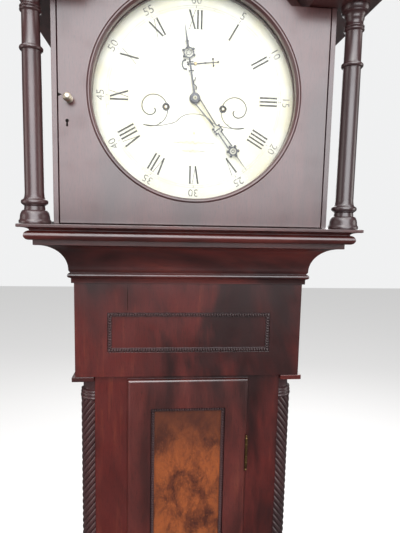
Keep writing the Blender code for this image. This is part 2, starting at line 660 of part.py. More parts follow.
# ---------------------------------------------------------------- hood door
def hood_door(door):
    low, high = HDOOR_LOW, HDOOR_HIGH
    outline = break_arch(HDOOR_HALF, low, high, HDOOR_ARCH_R, 16)
    leaf = prism("hood_door", "mahogany", outline, HOOD_FRONT_Y, HDOOR_BACK_Y)
    glass_y = HOOD_FRONT_Y + GLASS_BACK
    glass_r = SIGHT_R + 0.006
    sight = rod("sight", "deal", SIGHT_R, 0, DIAL_Z, HOOD_FRONT_Y - 0.01, HDOOR_BACK_Y + 0.01, 48)
    rebate = rod("rebate", "deal", glass_r, 0, DIAL_Z, glass_y - GLASS_T - GAP, HDOOR_BACK_Y + 0.01, 48)
    px, py = HDOOR_PIN
    sockets = [turned("socket", "deal", [(0, z - 0.014), (PIVOT_R + RUN, z - 0.014),
                                         (PIVOT_R + RUN, z + 0.014),
                                         (0, z + 0.014)], (px, py, 0)) for z in (low, high)]
    attach(cut(leaf, sight, rebate, *sockets), door)
    attach(rod("hood_door_glass", "glass", glass_r - GAP, 0, DIAL_Z, glass_y - GLASS_T, glass_y, 48), door)
    knob_x, knob_z = -0.1946, SEAT_Z + 0.1899
    f = HOOD_FRONT_Y
    knob = turned("hood_door_knob", "brass", [(0, f - GAP), (0.0052, f - GAP), (0.0052, f - 0.0015),
                  (0.0026, f - 0.003), (0.0026, f - 0.009), (0.0062, f - 0.012), (0.0066, f - 0.016),
                  (0.0040, f - 0.0195), (0, f - 0.0205)], (knob_x, 0, knob_z), 12, "Y")
    attach(knob, door)
    lock = box("hood_door_lock", "brass", (knob_x - 0.012, HDOOR_BACK_Y - 0.006, SEAT_Z + 0.135),
               (knob_x + 0.012, HDOOR_BACK_Y - GAP, SEAT_Z + 0.178))
    pocket = box("pocket", "deal", (knob_x - 0.012 - GAP, HDOOR_BACK_Y - 0.006 - GAP, SEAT_Z + 0.135 - GAP),
                 (knob_x + 0.012 + GAP, HDOOR_BACK_Y + 0.01, SEAT_Z + 0.178 + GAP))
    cut(bpy.data.objects["hood_door"], shifted(pocket, door))
    attach(lock, door)


def shifted(cutter, parent):
    """Bring a cutter into the frame of a piece that is already attached."""
    cutter.parent = parent
    cutter.data.transform(Matrix.Translation(-world_place(parent)))
    return cutter


# ---------------------------------------------------------------- movement: fixed pieces
PLACES = {
    "centre": (0.0, 0.0),
    "escape": (0.0, ESCAPE_Z),
    "anchor": (0.0, ANCHOR_Z),
    "going": (WIND_X, WIND_Z),
    "strike": (-WIND_X, WIND_Z),
    "pin": PIN_AT,
    "gather": GATHER_AT,
    "fly": FLY_AT,
    "hammer": HAMMER_AT,
}


def third_place():
    """The third wheel's arbor, at its two centre distances, on the going side."""
    up = (CENTRE_THIRD ** 2 - THIRD_ESCAPE ** 2 + ESCAPE_Z ** 2) / (2 * ESCAPE_Z)
    return math.sqrt(CENTRE_THIRD ** 2 - up ** 2), up


def minute_place():
    return CANNON_MINUTE * math.cos(math.radians(-45)), CANNON_MINUTE * math.sin(math.radians(-45))


PLACES["third"] = third_place()


def hole(place, radius, low_y, high_y):
    x, z = at_dial(place)
    return rod("hole", "deal", radius, x, z, low_y - 0.01, high_y + 0.01, 24 if radius > 0.0025 else SIDES)


def plates(case):
    low, high = DIAL_Z - PLATE_LOW, DIAL_Z + PLATE_HIGH
    front = box("front_plate", "brass", (-PLATE_HALF, PLATE_FRONT_Y, low), (PLATE_HALF, PLATE_REAR, high))
    holes = []
    for name, place in PLACES.items():
        radius = PIN_R + RUN
        if name in ("going", "strike"):
            radius = WIND_R + RUN
        if name in ("centre", "escape", "gather"):
            radius = ARBOR_R + RUN
        holes.append(hole(place, radius, PLATE_FRONT_Y, PLATE_REAR))
    cut(front, *holes)
    mx, mz = at_dial(minute_place())
    rx, rz = at_dial(RACK_AT)
    fuse(front, rod("stud", "brass", ARBOR_R, mx, mz, PLATE_FRONT_Y - 0.0150, PLATE_FRONT_Y + 0.0001),
         rod("stud", "brass", ARBOR_R, rx, rz, PLATE_FRONT_Y - 0.0200, PLATE_FRONT_Y + 0.0001))
    attach(front, case)
    rear = BACKPLATE_Y + PLATE_T
    back = box("back_plate", "brass", (-PLATE_HALF, BACKPLATE_Y, low), (PLATE_HALF, rear, high))
    holes = []
    for name, place in PLACES.items():
        radius = PIN_R + RUN
        if name in ("going", "strike"):
            radius = WIND_R + RUN
        if name == "anchor":
            radius = 0.0045
        holes.append(hole(place, radius, BACKPLATE_Y, rear))
    cut(back, *holes)
    pillars = []
    for side in (-1, 1):
        for inset, z in ((PILLAR_IN_LOW, DIAL_Z - PLATE_LOW + 0.010),
                         (PILLAR_IN_HIGH, DIAL_Z + PLATE_HIGH - 0.010)):
            pillars.append(rod("pillar", "brass", 0.004, side * (PLATE_HALF - inset), z, PLATE_REAR + GAP,
                               BACKPLATE_Y + 0.0001, 8))
    fuse(back, *pillars)
    ax, az = at_dial(PLACES["anchor"])
    cock = box("cock", "brass", (-0.024, rear - 0.0001, az + 0.006), (0.024, rear + 0.003, az + 0.0145))
    arm = box("arm", "brass", (-0.009, rear + 0.0029, az - 0.008), (0.009, PEND_Y + 0.0045, az + 0.0145))
    cut(arm, box("gap", "deal", (-0.0095, rear - 0.01, az - 0.02), (0.0095, PEND_Y - 0.0045, az + 0.006)))
    cut(arm, box("chops", "deal", (-0.0015, PEND_Y - 0.0035, az - 0.02),
                 (0.0015, PEND_Y + 0.0035, az + 0.02)))
    fuse(cock, arm)
    cut(cock, rod("hole", "deal", PIN_R + RUN, ax, az, rear + 0.004, PEND_Y - 0.0010))
    attach(fuse(back, cock, bell_stand()), case)


def dial(case):
    disc = rod("dial", "dial_silver", DIAL_R, 0, DIAL_Z, DIAL_FRONT_Y, DIAL_FRONT_Y + DIAL_T, 64)
    holes = [hole(PLACES["centre"], 0.0060, DIAL_FRONT_Y, DIAL_FRONT_Y),
             hole(PLACES["escape"], 0.0025, DIAL_FRONT_Y, DIAL_FRONT_Y)]
    for name in ("going", "strike"):
        holes.append(hole(PLACES[name], WIND_HOLE_R, DIAL_FRONT_Y, DIAL_FRONT_Y))
    cut(disc, *holes)
    feet = []
    for x in (-0.066, 0.066):
        for z in (DIAL_Z - 0.068, DIAL_Z + 0.090):
            feet.append(rod("foot", "brass", 0.0025, x, z, DIAL_FRONT_Y + DIAL_T - 0.0001,
                            PLATE_FRONT_Y - GAP, 8))
    attach(fuse(disc, *feet), case)


def bell_stand():
    """A bent bar from the back plate with a post that carries the bell."""
    y, z = BELL_Y, DIAL_Z + BELL_Z
    rear = BACKPLATE_Y + PLATE_T
    post = turned("post", "steel", [(0, z - 0.018), (0.0021, z - 0.018), (0.0021, z + 0.036),
                                    (0, z + 0.036)],
                  (0, y, 0), 8)
    bar = box("bar", "steel", (-0.003, y - 0.003, z - 0.020), (0.003, rear + 0.003, z - 0.016))
    leg = box("leg", "steel", (-0.003, rear - 0.0001, z - 0.034), (0.003, rear + 0.003, z - 0.016))
    return fuse(post, bar, leg)


def bell(case):
    y = BELL_Y
    z = DIAL_Z + BELL_Z
    r = BELL_R
    bore = 0.0025
    outer = [(bore, z + 0.031), (r * 0.3, z + 0.030), (r * 0.62, z + 0.025), (r * 0.86, z + 0.016),
             (r * 0.97, z + 0.006), (r, z)]
    inner = [(r * 0.95, z), (r * 0.925, z + 0.0055), (r * 0.83, z + 0.0147), (r * 0.60, z + 0.0232),
             (r * 0.3, z + 0.028), (bore, z + 0.029), (bore, z + 0.031)]
    attach(turned("bell", "bell_metal", outer + inner, (0, y, 0), 20), case)


# ---------------------------------------------------------------- movement: wheels
def arbor_profile(low_y, high_y, front_pin=True, radius=ARBOR_R):
    """An arbor between the plates, with a pivot at each end."""
    nose = [(0, PLATE_FRONT_Y), (PIN_R, PLATE_FRONT_Y), (PIN_R, low_y)] if front_pin else [(0, low_y)]
    return nose + [(radius, low_y), (radius, high_y), (PIN_R, high_y), (PIN_R, BACKPLATE_Y + PLATE_T),
                   (0, BACKPLATE_Y + PLATE_T)]


def arbor(name, slot, place, front_pin=True, low_y=None, radius=ARBOR_R):
    x, z = at_dial(place)
    near = PLATE_REAR + 0.0008 if low_y is None else low_y
    far = BACKPLATE_Y - 0.0008
    return turned(name, slot, arbor_profile(near, far, front_pin, radius), (x, 0, z), SIDES, "Y")


def toothed(name, slot, teeth, pitch_r, module, place, phase, low_y, high_y, tip=0.5):
    x, z = at_dial(place)
    return prism(name, slot, wheel_outline(teeth, pitch_r, module, x, z, phase, tip), low_y, high_y)


def phases(teeth_a, teeth_b, a, b):
    """A tooth of wheel a on the line of centres, in a gap of wheel b."""
    return mesh_phase(bearing(a, b), teeth_a, False), mesh_phase(bearing(b, a), teeth_b, True)


GREAT_Y = (BACKPLATE_Y - 0.0105, BACKPLATE_Y - 0.0080)
RATCHET_Y = (BACKPLATE_Y - 0.0132, BACKPLATE_Y - 0.0112)
BARREL_Y = (RATCHET_Y[0] - 0.0001 - BARREL_L, RATCHET_Y[0] + 0.0001)
PINWHEEL_Y = (PLATE_REAR + 0.0025, PLATE_REAR + 0.0045)
CENTREWHEEL_Y = (PLATE_REAR + 0.0068, PLATE_REAR + 0.0088)
THIRD_Y = (PLATE_REAR + 0.033, PLATE_REAR + 0.035)
ESCAPE_Y = (PLATE_REAR + 0.043, PLATE_REAR + 0.0445)
GATHER_Y = (PLATE_REAR + 0.025, PLATE_REAR + 0.027)
FLY_Y = (PLATE_REAR + 0.003, PLATE_REAR + 0.021)
CANNON_Y = (PLATE_FRONT_Y - 0.0045, PLATE_FRONT_Y - 0.0025)
HOUR_Y = (PLATE_FRONT_Y - 0.0095, PLATE_FRONT_Y - 0.0075)
SNAIL_Y = (PLATE_FRONT_Y - 0.0135, PLATE_FRONT_Y - 0.0120)
RACK_Y = (PLATE_FRONT_Y - 0.0165, PLATE_FRONT_Y - 0.0150)
HAND_HOUR_Y = DIAL_FRONT_Y - 0.0030
HAND_MINUTE_Y = DIAL_FRONT_Y - 0.0060


def wide(span, extra=0.0015):
    return span[0] - extra, span[1] + extra


def going_train(axes):
    place = PLACES
    m_great, r_great, r_cpin = pair(GREAT_T, CENTRE_P, math.hypot(*place["going"]))
    m_centre, r_centre, r_tpin = pair(CENTRE_T, THIRD_P, CENTRE_THIRD)
    m_third, r_third, r_epin = pair(THIRD_T, ESCAPE_P, THIRD_ESCAPE)
    m_can, r_can, r_min = pair(CANNON_T, MINUTE_T, CANNON_MINUTE)
    m_hour, r_mpin, r_hour = pair(MINUTE_P, HOUR_T, CANNON_MINUTE)

    great_a, cpin_a = phases(GREAT_T, CENTRE_P, place["going"], place["centre"])
    great = toothed("going_great_wheel", "brass", GREAT_T, r_great, m_great, place["going"], great_a,
                    *GREAT_Y)
    cut(great, hole(place["going"], WIND_R + RUN, *GREAT_Y))
    attach(great, axes["going_great_axis"])

    centre = arbor("centre_wheel", "steel", place["centre"], False, HAND_MINUTE_Y - 0.0028)
    centre_a, tpin_a = phases(CENTRE_T, THIRD_P, place["centre"], place["third"])
    can_a, min_a = phases(CANNON_T, MINUTE_T, place["centre"], minute_place())
    pipe = rod("pipe", "steel", 0.0028, *at_dial((0, 0)), HAND_MINUTE_Y + 0.0012, PLATE_FRONT_Y - 0.0005)
    fuse(centre, pipe, toothed("w", "brass", CENTRE_T, r_centre, m_centre, (0, 0), centre_a, *CENTREWHEEL_Y),
         toothed("p", "steel", CENTRE_P, r_cpin, m_great, (0, 0), cpin_a, *wide(GREAT_Y), 0.4),
         toothed("c", "brass", CANNON_T, r_can, m_can, (0, 0), can_a, *CANNON_Y))
    attach(centre, axes["centre_axis"])

    third = arbor("third_wheel", "steel", place["third"])
    third_a, epin_a = phases(THIRD_T, ESCAPE_P, place["third"], place["escape"])
    fuse(third, toothed("w", "brass", THIRD_T, r_third, m_third, place["third"], third_a, *THIRD_Y),
         toothed("p", "steel", THIRD_P, r_tpin, m_centre, place["third"], tpin_a, *wide(CENTREWHEEL_Y), 0.4))
    attach(third, axes["third_axis"])

    escape = arbor("escape_wheel", "steel", place["escape"], False, DIAL_FRONT_Y - 0.0022)
    fuse(escape, toothed("w", "brass", ESCAPE_T, 0.0185, 0.0018, place["escape"], 0, *ESCAPE_Y, 0.8),
         toothed("p", "steel", ESCAPE_P, r_epin, m_third, place["escape"], epin_a, *wide(THIRD_Y), 0.4))
    attach(escape, axes["escape_axis"])

    minute = toothed("minute_wheel", "brass", MINUTE_T, r_min, m_can, minute_place(), min_a, *CANNON_Y)
    mpin_a, hour_a = phases(MINUTE_P, HOUR_T, minute_place(), place["centre"])
    fuse(minute, toothed("p", "steel", MINUTE_P, r_mpin, m_hour, minute_place(), mpin_a,
                         HOUR_Y[0] - 0.0015, CANNON_Y[0] + 0.0001, 0.4))
    cut(minute, rod("bore", "deal", ARBOR_R + RUN, *at_dial(minute_place()), HOUR_Y[0] - 0.01,
                    PLATE_FRONT_Y))
    attach(minute, axes["minute_axis"])

    hour = toothed("hour_wheel", "brass", HOUR_T, r_hour, m_hour, (0, 0), hour_a, *HOUR_Y)
    pipe = rod("pipe", "brass", 0.0043, *at_dial((0, 0)), HAND_HOUR_Y - 0.0012, HOUR_Y[1])
    fuse(hour, pipe, snail())
    cut(hour, rod("bore", "deal", 0.0028 + RUN, *at_dial((0, 0)), DIAL_FRONT_Y - 0.03, PLATE_FRONT_Y + 0.01,
                  24))
    attach(hour, axes["hour_axis"])


def snail():
    """Twelve steps that set how far the rack falls."""
    points = []
    for step in range(12):
        radius = 0.021 - 0.0009 * step
        for turn in (step * 30 + 0.5, step * 30 + 15, step * 30 + 29.5):
            a = math.radians(turn)
            points.append((radius * math.cos(a), DIAL_Z + radius * math.sin(a)))
    return prism("snail", "brass", points, SNAIL_Y[0], HOUR_Y[0] + 0.0001)


def strike_train(axes):
    place = PLACES
    distance = math.dist(place["strike"], place["pin"])
    m_great, r_great, r_pin = pair(S_GREAT_T, PIN_P, distance)
    m_pin, r_pinwheel, r_gpin = pair(PIN_T, GATHER_P, math.dist(place["pin"], place["gather"]))
    m_gat, r_gather, r_fpin = pair(GATHER_T, FLY_P, math.dist(place["gather"], place["fly"]))

    great_a, ppin_a = phases(S_GREAT_T, PIN_P, place["strike"], place["pin"])
    great = toothed("strike_great_wheel", "brass", S_GREAT_T, r_great, m_great, place["strike"], great_a,
                    *GREAT_Y)
    cut(great, hole(place["strike"], WIND_R + RUN, *GREAT_Y))
    attach(great, axes["strike_great_axis"])

    wheel = arbor("pin_wheel", "steel", place["pin"])
    wheel_a, gpin_a = phases(PIN_T, GATHER_P, place["pin"], place["gather"])
    fuse(wheel, toothed("w", "brass", PIN_T, r_pinwheel, m_pin, place["pin"], wheel_a, *PINWHEEL_Y),
         toothed("p", "steel", PIN_P, r_pin, m_great, place["pin"], ppin_a, *wide(GREAT_Y), 0.4))
    px, pz = at_dial(place["pin"])
    pins = [rod("pin", "steel", 0.0008, px + 0.0180 * math.cos(math.radians(a)),
                pz + 0.0180 * math.sin(math.radians(a)),
                PINWHEEL_Y[1] - 0.0001, PINWHEEL_Y[1] + 0.0020, 6) for a in range(0, 360, 45)]
    fuse(wheel, *pins)
    attach(wheel, axes["pin_axis"])

    gather = arbor("gathering_wheel", "steel", place["gather"], False, PLATE_FRONT_Y - 0.0095)
    gather_a, fpin_a = phases(GATHER_T, FLY_P, place["gather"], place["fly"])
    fuse(gather, toothed("w", "brass", GATHER_T, r_gather, m_gat, place["gather"], gather_a, *GATHER_Y),
         toothed("p", "steel", GATHER_P, r_gpin, m_pin, place["gather"], gpin_a, *wide(PINWHEEL_Y, 0.0012),
                 0.4))
    gx, gz = at_dial(place["gather"])
    fuse(gather, box("pallet", "steel", (gx - 0.0015, PLATE_FRONT_Y - 0.0095, gz - 0.007),
                     (gx + 0.0015, PLATE_FRONT_Y - 0.0075, gz + 0.002)))
    attach(gather, axes["gather_axis"])

    fly = arbor("fly", "steel", place["fly"])
    fx, fz = at_dial(place["fly"])
    vane = box("vane", "brass", (fx - 0.0125, FLY_Y[0], fz - 0.0004), (fx + 0.0125, FLY_Y[1], fz + 0.0004))
    fuse(fly, vane, toothed("p", "steel", FLY_P, r_fpin, m_gat, place["fly"], fpin_a, *wide(GATHER_Y), 0.4))
    attach(fly, axes["fly_axis"])


def barrels(axes):
    for train in ("going", "strike"):
        x, z = at_dial(PLACES[train])
        low, high = BARREL_Y
        r = BARREL_R
        profile = [(0, DIAL_FRONT_Y + 0.0010), (0.0026, DIAL_FRONT_Y + 0.0010),
                   (0.0026, DIAL_FRONT_Y + 0.018),
                   (WIND_R, DIAL_FRONT_Y + 0.018), (WIND_R, low), (r + 0.0015, low),
                   (r + 0.0015, low + 0.0015),
                   (r, low + 0.0015), (r, high - 0.0001), (0.0135, high - 0.0001), (0.0135, RATCHET_Y[1]),
                   (WIND_R, RATCHET_Y[1]), (WIND_R, BACKPLATE_Y + PLATE_T), (0, BACKPLATE_Y + PLATE_T)]
        attach(turned(train + "_barrel", "brass", profile, (x, 0, z), 24, "Y"), axes[train + "_barrel_axis"])


# ---------------------------------------------------------------- weights and lines
def line_x(train):
    """Each line leaves its barrel on the left, so that both wind clockwise."""
    return PLACES[train][0] - (BARREL_R + GAP + LINE_R)


def pulley_place(train):
    return line_x(train) + PULLEY_R + GAP + LINE_R, MID_Y, WEIGHT_LOW_Z + WEIGHT_H + 0.075


def weights(axes):
    for train in ("going", "strike"):
        x, y, z = pulley_place(train)
        low = WEIGHT_LOW_Z
        top = low + WEIGHT_H
        r = WEIGHT_R
        profile = [(0, low), (r - 0.002, low), (r, low + 0.002), (r, top - 0.004), (r - 0.004, top),
                   (0.003, top + 0.001), (0.0022, top + 0.004), (0.0022, z - 0.0300), (0, z - 0.0300)]
        weight = turned(train + "_weight", "iron", profile, (x, y, 0), 20)
        half = PULLEY_T / 2 + 0.0006
        yoke = box("yoke", "brass", (x - 0.004, y - half - 0.0015, z - 0.0320),
                   (x + 0.004, y + half + 0.0015, z - 0.0290))
        cheeks = [box("cheek", "brass", (x - 0.004, min(s * half, s * (half + 0.0015)) + y, z - 0.0320),
                      (x + 0.004, max(s * half, s * (half + 0.0015)) + y, z + 0.005)) for s in (-1, 1)]
        axle = rod("axle", "steel", 0.0020, x, z, y - half - 0.0005, y + half + 0.0005)
        attach(fuse(weight, yoke, *cheeks, axle), axes[train + "_weight_axis"])
        h = PULLEY_T / 2
        groove = PULLEY_R
        wheel = [(0.0020 + RUN, -h), (groove + 0.003, -h), (groove + 0.003, -h + 0.0008), (groove, -0.0015),
                 (groove, 0.0015), (groove + 0.003, h - 0.0008), (groove + 0.003, h), (0.0020 + RUN, h),
                 (0.0020 + RUN, -h)]
        sheave = turned(train + "_pulley", "brass", wheel, (x, y, z), 24, "Y")
        attach(sheave, axes[train + "_pulley_axis"])


def lines(case):
    """Gut line: down from the barrel, under the pulley and up to the seatboard."""
    for train in ("going", "strike"):
        x, y, z = pulley_place(train)
        reach = PULLEY_R + GAP + LINE_R
        route = ([(x - reach, DIAL_Z + WIND_Z)] + arc(x, z, reach, 180, 360, 12)
                 + [(x + reach, SEATBOARD_TOP - SEATBOARD_T - GAP)])
        curve = bpy.data.curves.new(train + "_line", "CURVE")
        curve.dimensions = "3D"
        curve.bevel_depth = LINE_R
        curve.bevel_resolution = 1
        curve.use_fill_caps = True
        spline = curve.splines.new("POLY")
        spline.points.add(len(route) - 1)
        for point, (px, pz) in zip(spline.points, route):
            point.co = (px, y, pz, 1)
        curve.materials.append(material("gut"))
        line = bpy.data.objects.new(train + "_line", curve)
        bpy.context.scene.collection.objects.link(line)
        line.parent = case


# ---------------------------------------------------------------- escapement, pendulum, hammer, rack, hands
def anchor(axes):
    ax, az = at_dial(PLACES["anchor"])
    y0, y1 = ESCAPE_Y
    wheel_z = DIAL_Z + ESCAPE_Z
    reach = 0.0228
    claws = arc(0, wheel_z, reach + 0.0035, 138, 42, 10) + arc(0, wheel_z, reach, 42, 138, 10)
    body = prism("anchor", "steel", claws, y0, y1)
    stem = box("stem", "steel", (-0.004, y0, wheel_z + reach + 0.001), (0.004, y1, az + 0.003))
    profile = [(0, PLATE_FRONT_Y), (PIN_R, PLATE_FRONT_Y), (PIN_R, PLATE_REAR + 0.0008),
               (ARBOR_R, PLATE_REAR + 0.0008), (ARBOR_R, PEND_Y - 0.0075), (PIN_R, PEND_Y - 0.0075),
               (PIN_R, PEND_Y - 0.0046), (0, PEND_Y - 0.0046)]
    shaft = turned("shaft", "steel", profile, (ax, 0, az), SIDES, "Y")
    crutch_y = BACKPLATE_Y + PLATE_T + 0.0060
    crutch = box("crutch", "steel", (-0.0012, crutch_y, az - 0.105), (0.0012, crutch_y + 0.0024, az + 0.001))
    fork = box("fork", "steel", (-0.0050, crutch_y + 0.0001, az - 0.107),
               (0.0050, PEND_Y + 0.006, az - 0.103))
    slot = box("slot", "deal", (-0.0026, PEND_Y - 0.0030, az - 0.2), (0.0026, PEND_Y + 0.0030, az))
    cut(fork, slot)
    attach(fuse(body, stem, shaft, crutch, fork), axes["anchor_axis"])


def pendulum(axes):
    ax, az = at_dial(PLACES["anchor"])
    bob_z = az - PENDULUM_L
    rod_r = 0.0022
    profile = [(0, bob_z - BOB_R - 0.030), (rod_r, bob_z - BOB_R - 0.030), (rod_r, bob_z - BOB_R - 0.012),
               (0.009, bob_z - BOB_R - 0.011), (0.009, bob_z - BOB_R - 0.003),
               (rod_r, bob_z - BOB_R - 0.002),
               (rod_r, az - 0.040), (0, az - 0.040)]
    shaft = turned("pendulum_rod", "steel", profile, (0, PEND_Y, 0), 10)
    strip = box("strip", "steel", (-0.0004, PEND_Y - 0.0028, az - 0.045),
                (0.0004, PEND_Y + 0.0028, az + 0.016))
    head = box("head", "brass", (-0.005, PEND_Y - 0.003, az + 0.0150), (0.005, PEND_Y + 0.003, az + 0.0210))
    attach(fuse(shaft, strip, head), axes["pendulum_axis"])
    edge = 0.003
    lens = [(0, -BOB_T / 2), (BOB_R * 0.45, -BOB_T / 2 + 0.0012), (BOB_R * 0.8, -BOB_T / 2 + 0.005),
            (BOB_R, -edge / 2), (BOB_R, edge / 2), (BOB_R * 0.8, BOB_T / 2 - 0.005),
            (BOB_R * 0.45, BOB_T / 2 - 0.0012), (0, BOB_T / 2)]
    bob = turned("pendulum_bob", "brass", lens, (0, PEND_Y, bob_z), 32, "Y")
    bore = turned("bore", "deal", [(0, bob_z - 0.1), (rod_r + GAP, bob_z - 0.1), (rod_r + GAP, bob_z + 0.1),
                                   (0, bob_z + 0.1)], (0, PEND_Y, 0), 10)
    attach(cut(bob, bore), axes["pendulum_axis"])


def hammer(axes):
    place = PLACES["hammer"]
    x, z = at_dial(place)
    shaft = arbor("hammer", "steel", place)
    arm_y = BACKPLATE_Y - 0.0060
    head_z = DIAL_Z + BELL_Z + 0.004
    arm = box("arm", "steel", (x - 0.0012, arm_y, z - 0.001), (x + 0.0012, arm_y + 0.0024, head_z + 0.003))
    bell_y = BELL_Y
    neck = box("neck", "steel", (x - 0.0012, bell_y - 0.004, head_z - 0.003),
               (x + 0.0012, arm_y + 0.0024, head_z + 0.003))
    head = box("head", "steel", (x - 0.0060, bell_y - 0.005, head_z - 0.005),
               (-BELL_R - 0.0030, bell_y + 0.005, head_z + 0.005))
    tail = box("tail", "steel", (x - 0.0005, PINWHEEL_Y[1] + 0.0005, z - 0.0015),
               (x + 0.0085, PINWHEEL_Y[1] + 0.0019, z + 0.0010))
    attach(fuse(shaft, arm, neck, head, tail), axes["hammer_axis"])


def rack(axes):
    x, z = at_dial(RACK_AT)
    y0, y1 = RACK_Y
    tip_z = DIAL_Z + 0.042
    teeth = []
    for i in range(12):
        top = tip_z - i * 0.0022
        teeth += [(x + 0.0035, top), (x + 0.0015, top - 0.0020)]
    outline = ([(x - 0.0025, z - 0.004), (x + 0.0025, z - 0.004), (x + 0.0272, z + 0.0430),
                (x + 0.0240, z + 0.0450),
                (x + 0.0025, z + 0.008), (x + 0.0015, tip_z - 0.030)] + teeth[::-1] + [(x - 0.0035, tip_z)])
    blade = prism("rack", "steel", outline, y0, y1)
    boss = rod("boss", "steel", 0.0045, x, z, y0, PLATE_FRONT_Y - 0.0010)
    fuse(blade, boss)
    cut(blade, rod("bore", "deal", ARBOR_R + RUN, x, z, y0 - 0.01, PLATE_FRONT_Y + 0.01))
    attach(blade, axes["rack_axis"])


def hand(name, place, tilt_deg, outline, y, bore):
    """A flat hand, drawn upright and turned clockwise to its hour."""
    x, z = at_dial(place)
    made = prism(name, "blued_steel", outline, y - 0.0008, y)
    turn = Matrix.Rotation(math.radians(tilt_deg), 4, "Y")
    made.data.transform(Matrix.Translation((x, 0, z)) @ turn)
    return cut(made, rod("bore", "deal", bore, x, z, y - 0.01, y + 0.01))


def hands(axes):
    disc = arc(0, 0, 0.0095, 110, 430, 14)
    hour_shape = disc + [(0.002, 0.040), (0.009, 0.062), (0.009, 0.072), (0.003, 0.080), (0, 0.116),
                         (-0.003, 0.080), (-0.009, 0.072), (-0.009, 0.062), (-0.002, 0.040)]
    attach(hand("hour_hand", (0, 0), -8.9, hour_shape, HAND_HOUR_Y, 0.0043 + GAP), axes["hour_axis"])
    disc = arc(0, 0, 0.0075, 110, 430, 14)
    minute_shape = disc + [(0.003, 0.030), (0.008, 0.052), (0.005, 0.080), (0.009, 0.092), (0.002, 0.104),
                           (0, 0.144), (-0.002, 0.104), (-0.009, 0.092), (-0.005, 0.080), (-0.008, 0.052),
                           (-0.003, 0.030)]
    attach(hand("minute_hand", (0, 0), 142, minute_shape, HAND_MINUTE_Y, ARBOR_R + GAP), axes["centre_axis"])
    disc = arc(0, 0, 0.0035, 110, 430, 10)
    seconds_shape = disc + [(0.0005, 0.040), (-0.0005, 0.040)]
    seconds = hand("seconds_hand", PLACES["escape"], 83, seconds_shape, DIAL_FRONT_Y - 0.0008, ARBOR_R + GAP)
    x, z = at_dial(PLACES["escape"])
    tail = prism("tail", "blued_steel", [(x - 0.020, z - 0.009), (x - 0.0028, z - 0.001),
                                         (x - 0.0028, z + 0.001),
                                         (x - 0.022, z - 0.006)], DIAL_FRONT_Y - 0.0016,
                 DIAL_FRONT_Y - 0.0008)
    attach(fuse(seconds, tail), axes["escape_axis"])


# ---------------------------------------------------------------- assembly
def build():
    clear_scene()
    case = pivot("case", (0, 0, 0))
    hood = pivot("hood", (0, 0, SEAT_Z))
    hood_door_axis = pivot("hood_door_axis", (*HDOOR_PIN, SEAT_Z), hood)
    door_axis = pivot("trunk_door_axis", (HINGE_X, HINGE_Y, DOOR_Z[0]), case)
    axes = {}
    for name, place in (("going_great", "going"), ("strike_great", "strike"), ("going_barrel", "going"),
                        ("strike_barrel", "strike"), ("centre", "centre"), ("third", "third"),
                        ("escape", "escape"), ("hour", "centre"), ("pin", "pin"), ("gather", "gather"),
                        ("fly", "fly"), ("anchor", "anchor"), ("hammer", "hammer")):
        x, z = at_dial(PLACES[place])
        axes[name + "_axis"] = pivot(name + "_axis", (x, MID_Y, z), case)
    axes["minute_axis"] = pivot("minute_axis", (at_dial(minute_place())[0], MID_Y,
                                                at_dial(minute_place())[1]), case)
    axes["rack_axis"] = pivot("rack_axis", (at_dial(RACK_AT)[0], MID_Y, at_dial(RACK_AT)[1]), case)
    axes["pendulum_axis"] = pivot("pendulum_axis", (0, PEND_Y, DIAL_Z + ANCHOR_Z), case)
    for train in ("going", "strike"):
        lift = pivot(train + "_weight_axis", pulley_place(train), case)
        axes[train + "_weight_axis"] = lift
        axes[train + "_pulley_axis"] = pivot(train + "_pulley_axis", pulley_place(train), lift)

    plinth(case)
    waist(case)
    trunk(case)
    backboard(case)
    frieze_and_throat(case)
    quarter_columns(case)
    seatboard(case)
    trunk_door(door_axis)
    trunk_hinges(door_axis)
    hood_base(hood)
    hood_shell(hood)
    hood_pediment(hood)
    hood_columns(hood)
    hood_door(hood_door_axis)
    plates(case)
    dial(case)
    bell(case)
    going_train(axes)
    strike_train(axes)
    barrels(axes)
    weights(axes)
    lines(case)
    anchor(axes)
    pendulum(axes)
    hammer(axes)
    rack(axes)
    hands(axes)
    names = sorted(o.name for o in bpy.data.objects if o.type != "EMPTY")
    print(len(names), "sub-parts")


build()
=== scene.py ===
# %% [markdown]
# # A longcase clock, finished piece by piece
#
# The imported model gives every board, wheel and weight at its real size and on its real joint.
# This notebook leaves those places alone and makes the surfaces: fine mouldings, carved twists,
# an engraved dial, pierced hands, and polished, worn mahogany over all of it.

# %% Load the frame
import math

import bmesh
import bpy
from mathutils import Matrix, Vector


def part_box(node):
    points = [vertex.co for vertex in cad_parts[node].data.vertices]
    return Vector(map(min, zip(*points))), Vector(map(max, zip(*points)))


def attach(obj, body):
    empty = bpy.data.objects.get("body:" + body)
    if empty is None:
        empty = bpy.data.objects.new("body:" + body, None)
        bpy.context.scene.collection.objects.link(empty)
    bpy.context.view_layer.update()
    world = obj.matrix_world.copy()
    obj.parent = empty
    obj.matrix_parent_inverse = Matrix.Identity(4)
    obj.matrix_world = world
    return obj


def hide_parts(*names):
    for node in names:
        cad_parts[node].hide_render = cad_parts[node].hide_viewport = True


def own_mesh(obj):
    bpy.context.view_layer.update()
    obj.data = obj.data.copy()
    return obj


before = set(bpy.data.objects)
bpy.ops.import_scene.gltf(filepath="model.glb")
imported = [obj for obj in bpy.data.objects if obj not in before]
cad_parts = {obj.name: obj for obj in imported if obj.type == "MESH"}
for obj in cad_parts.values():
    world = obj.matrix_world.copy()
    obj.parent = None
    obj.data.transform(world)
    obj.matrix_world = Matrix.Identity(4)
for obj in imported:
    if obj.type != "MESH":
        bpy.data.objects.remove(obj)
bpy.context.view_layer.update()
scene = bpy.context.scene

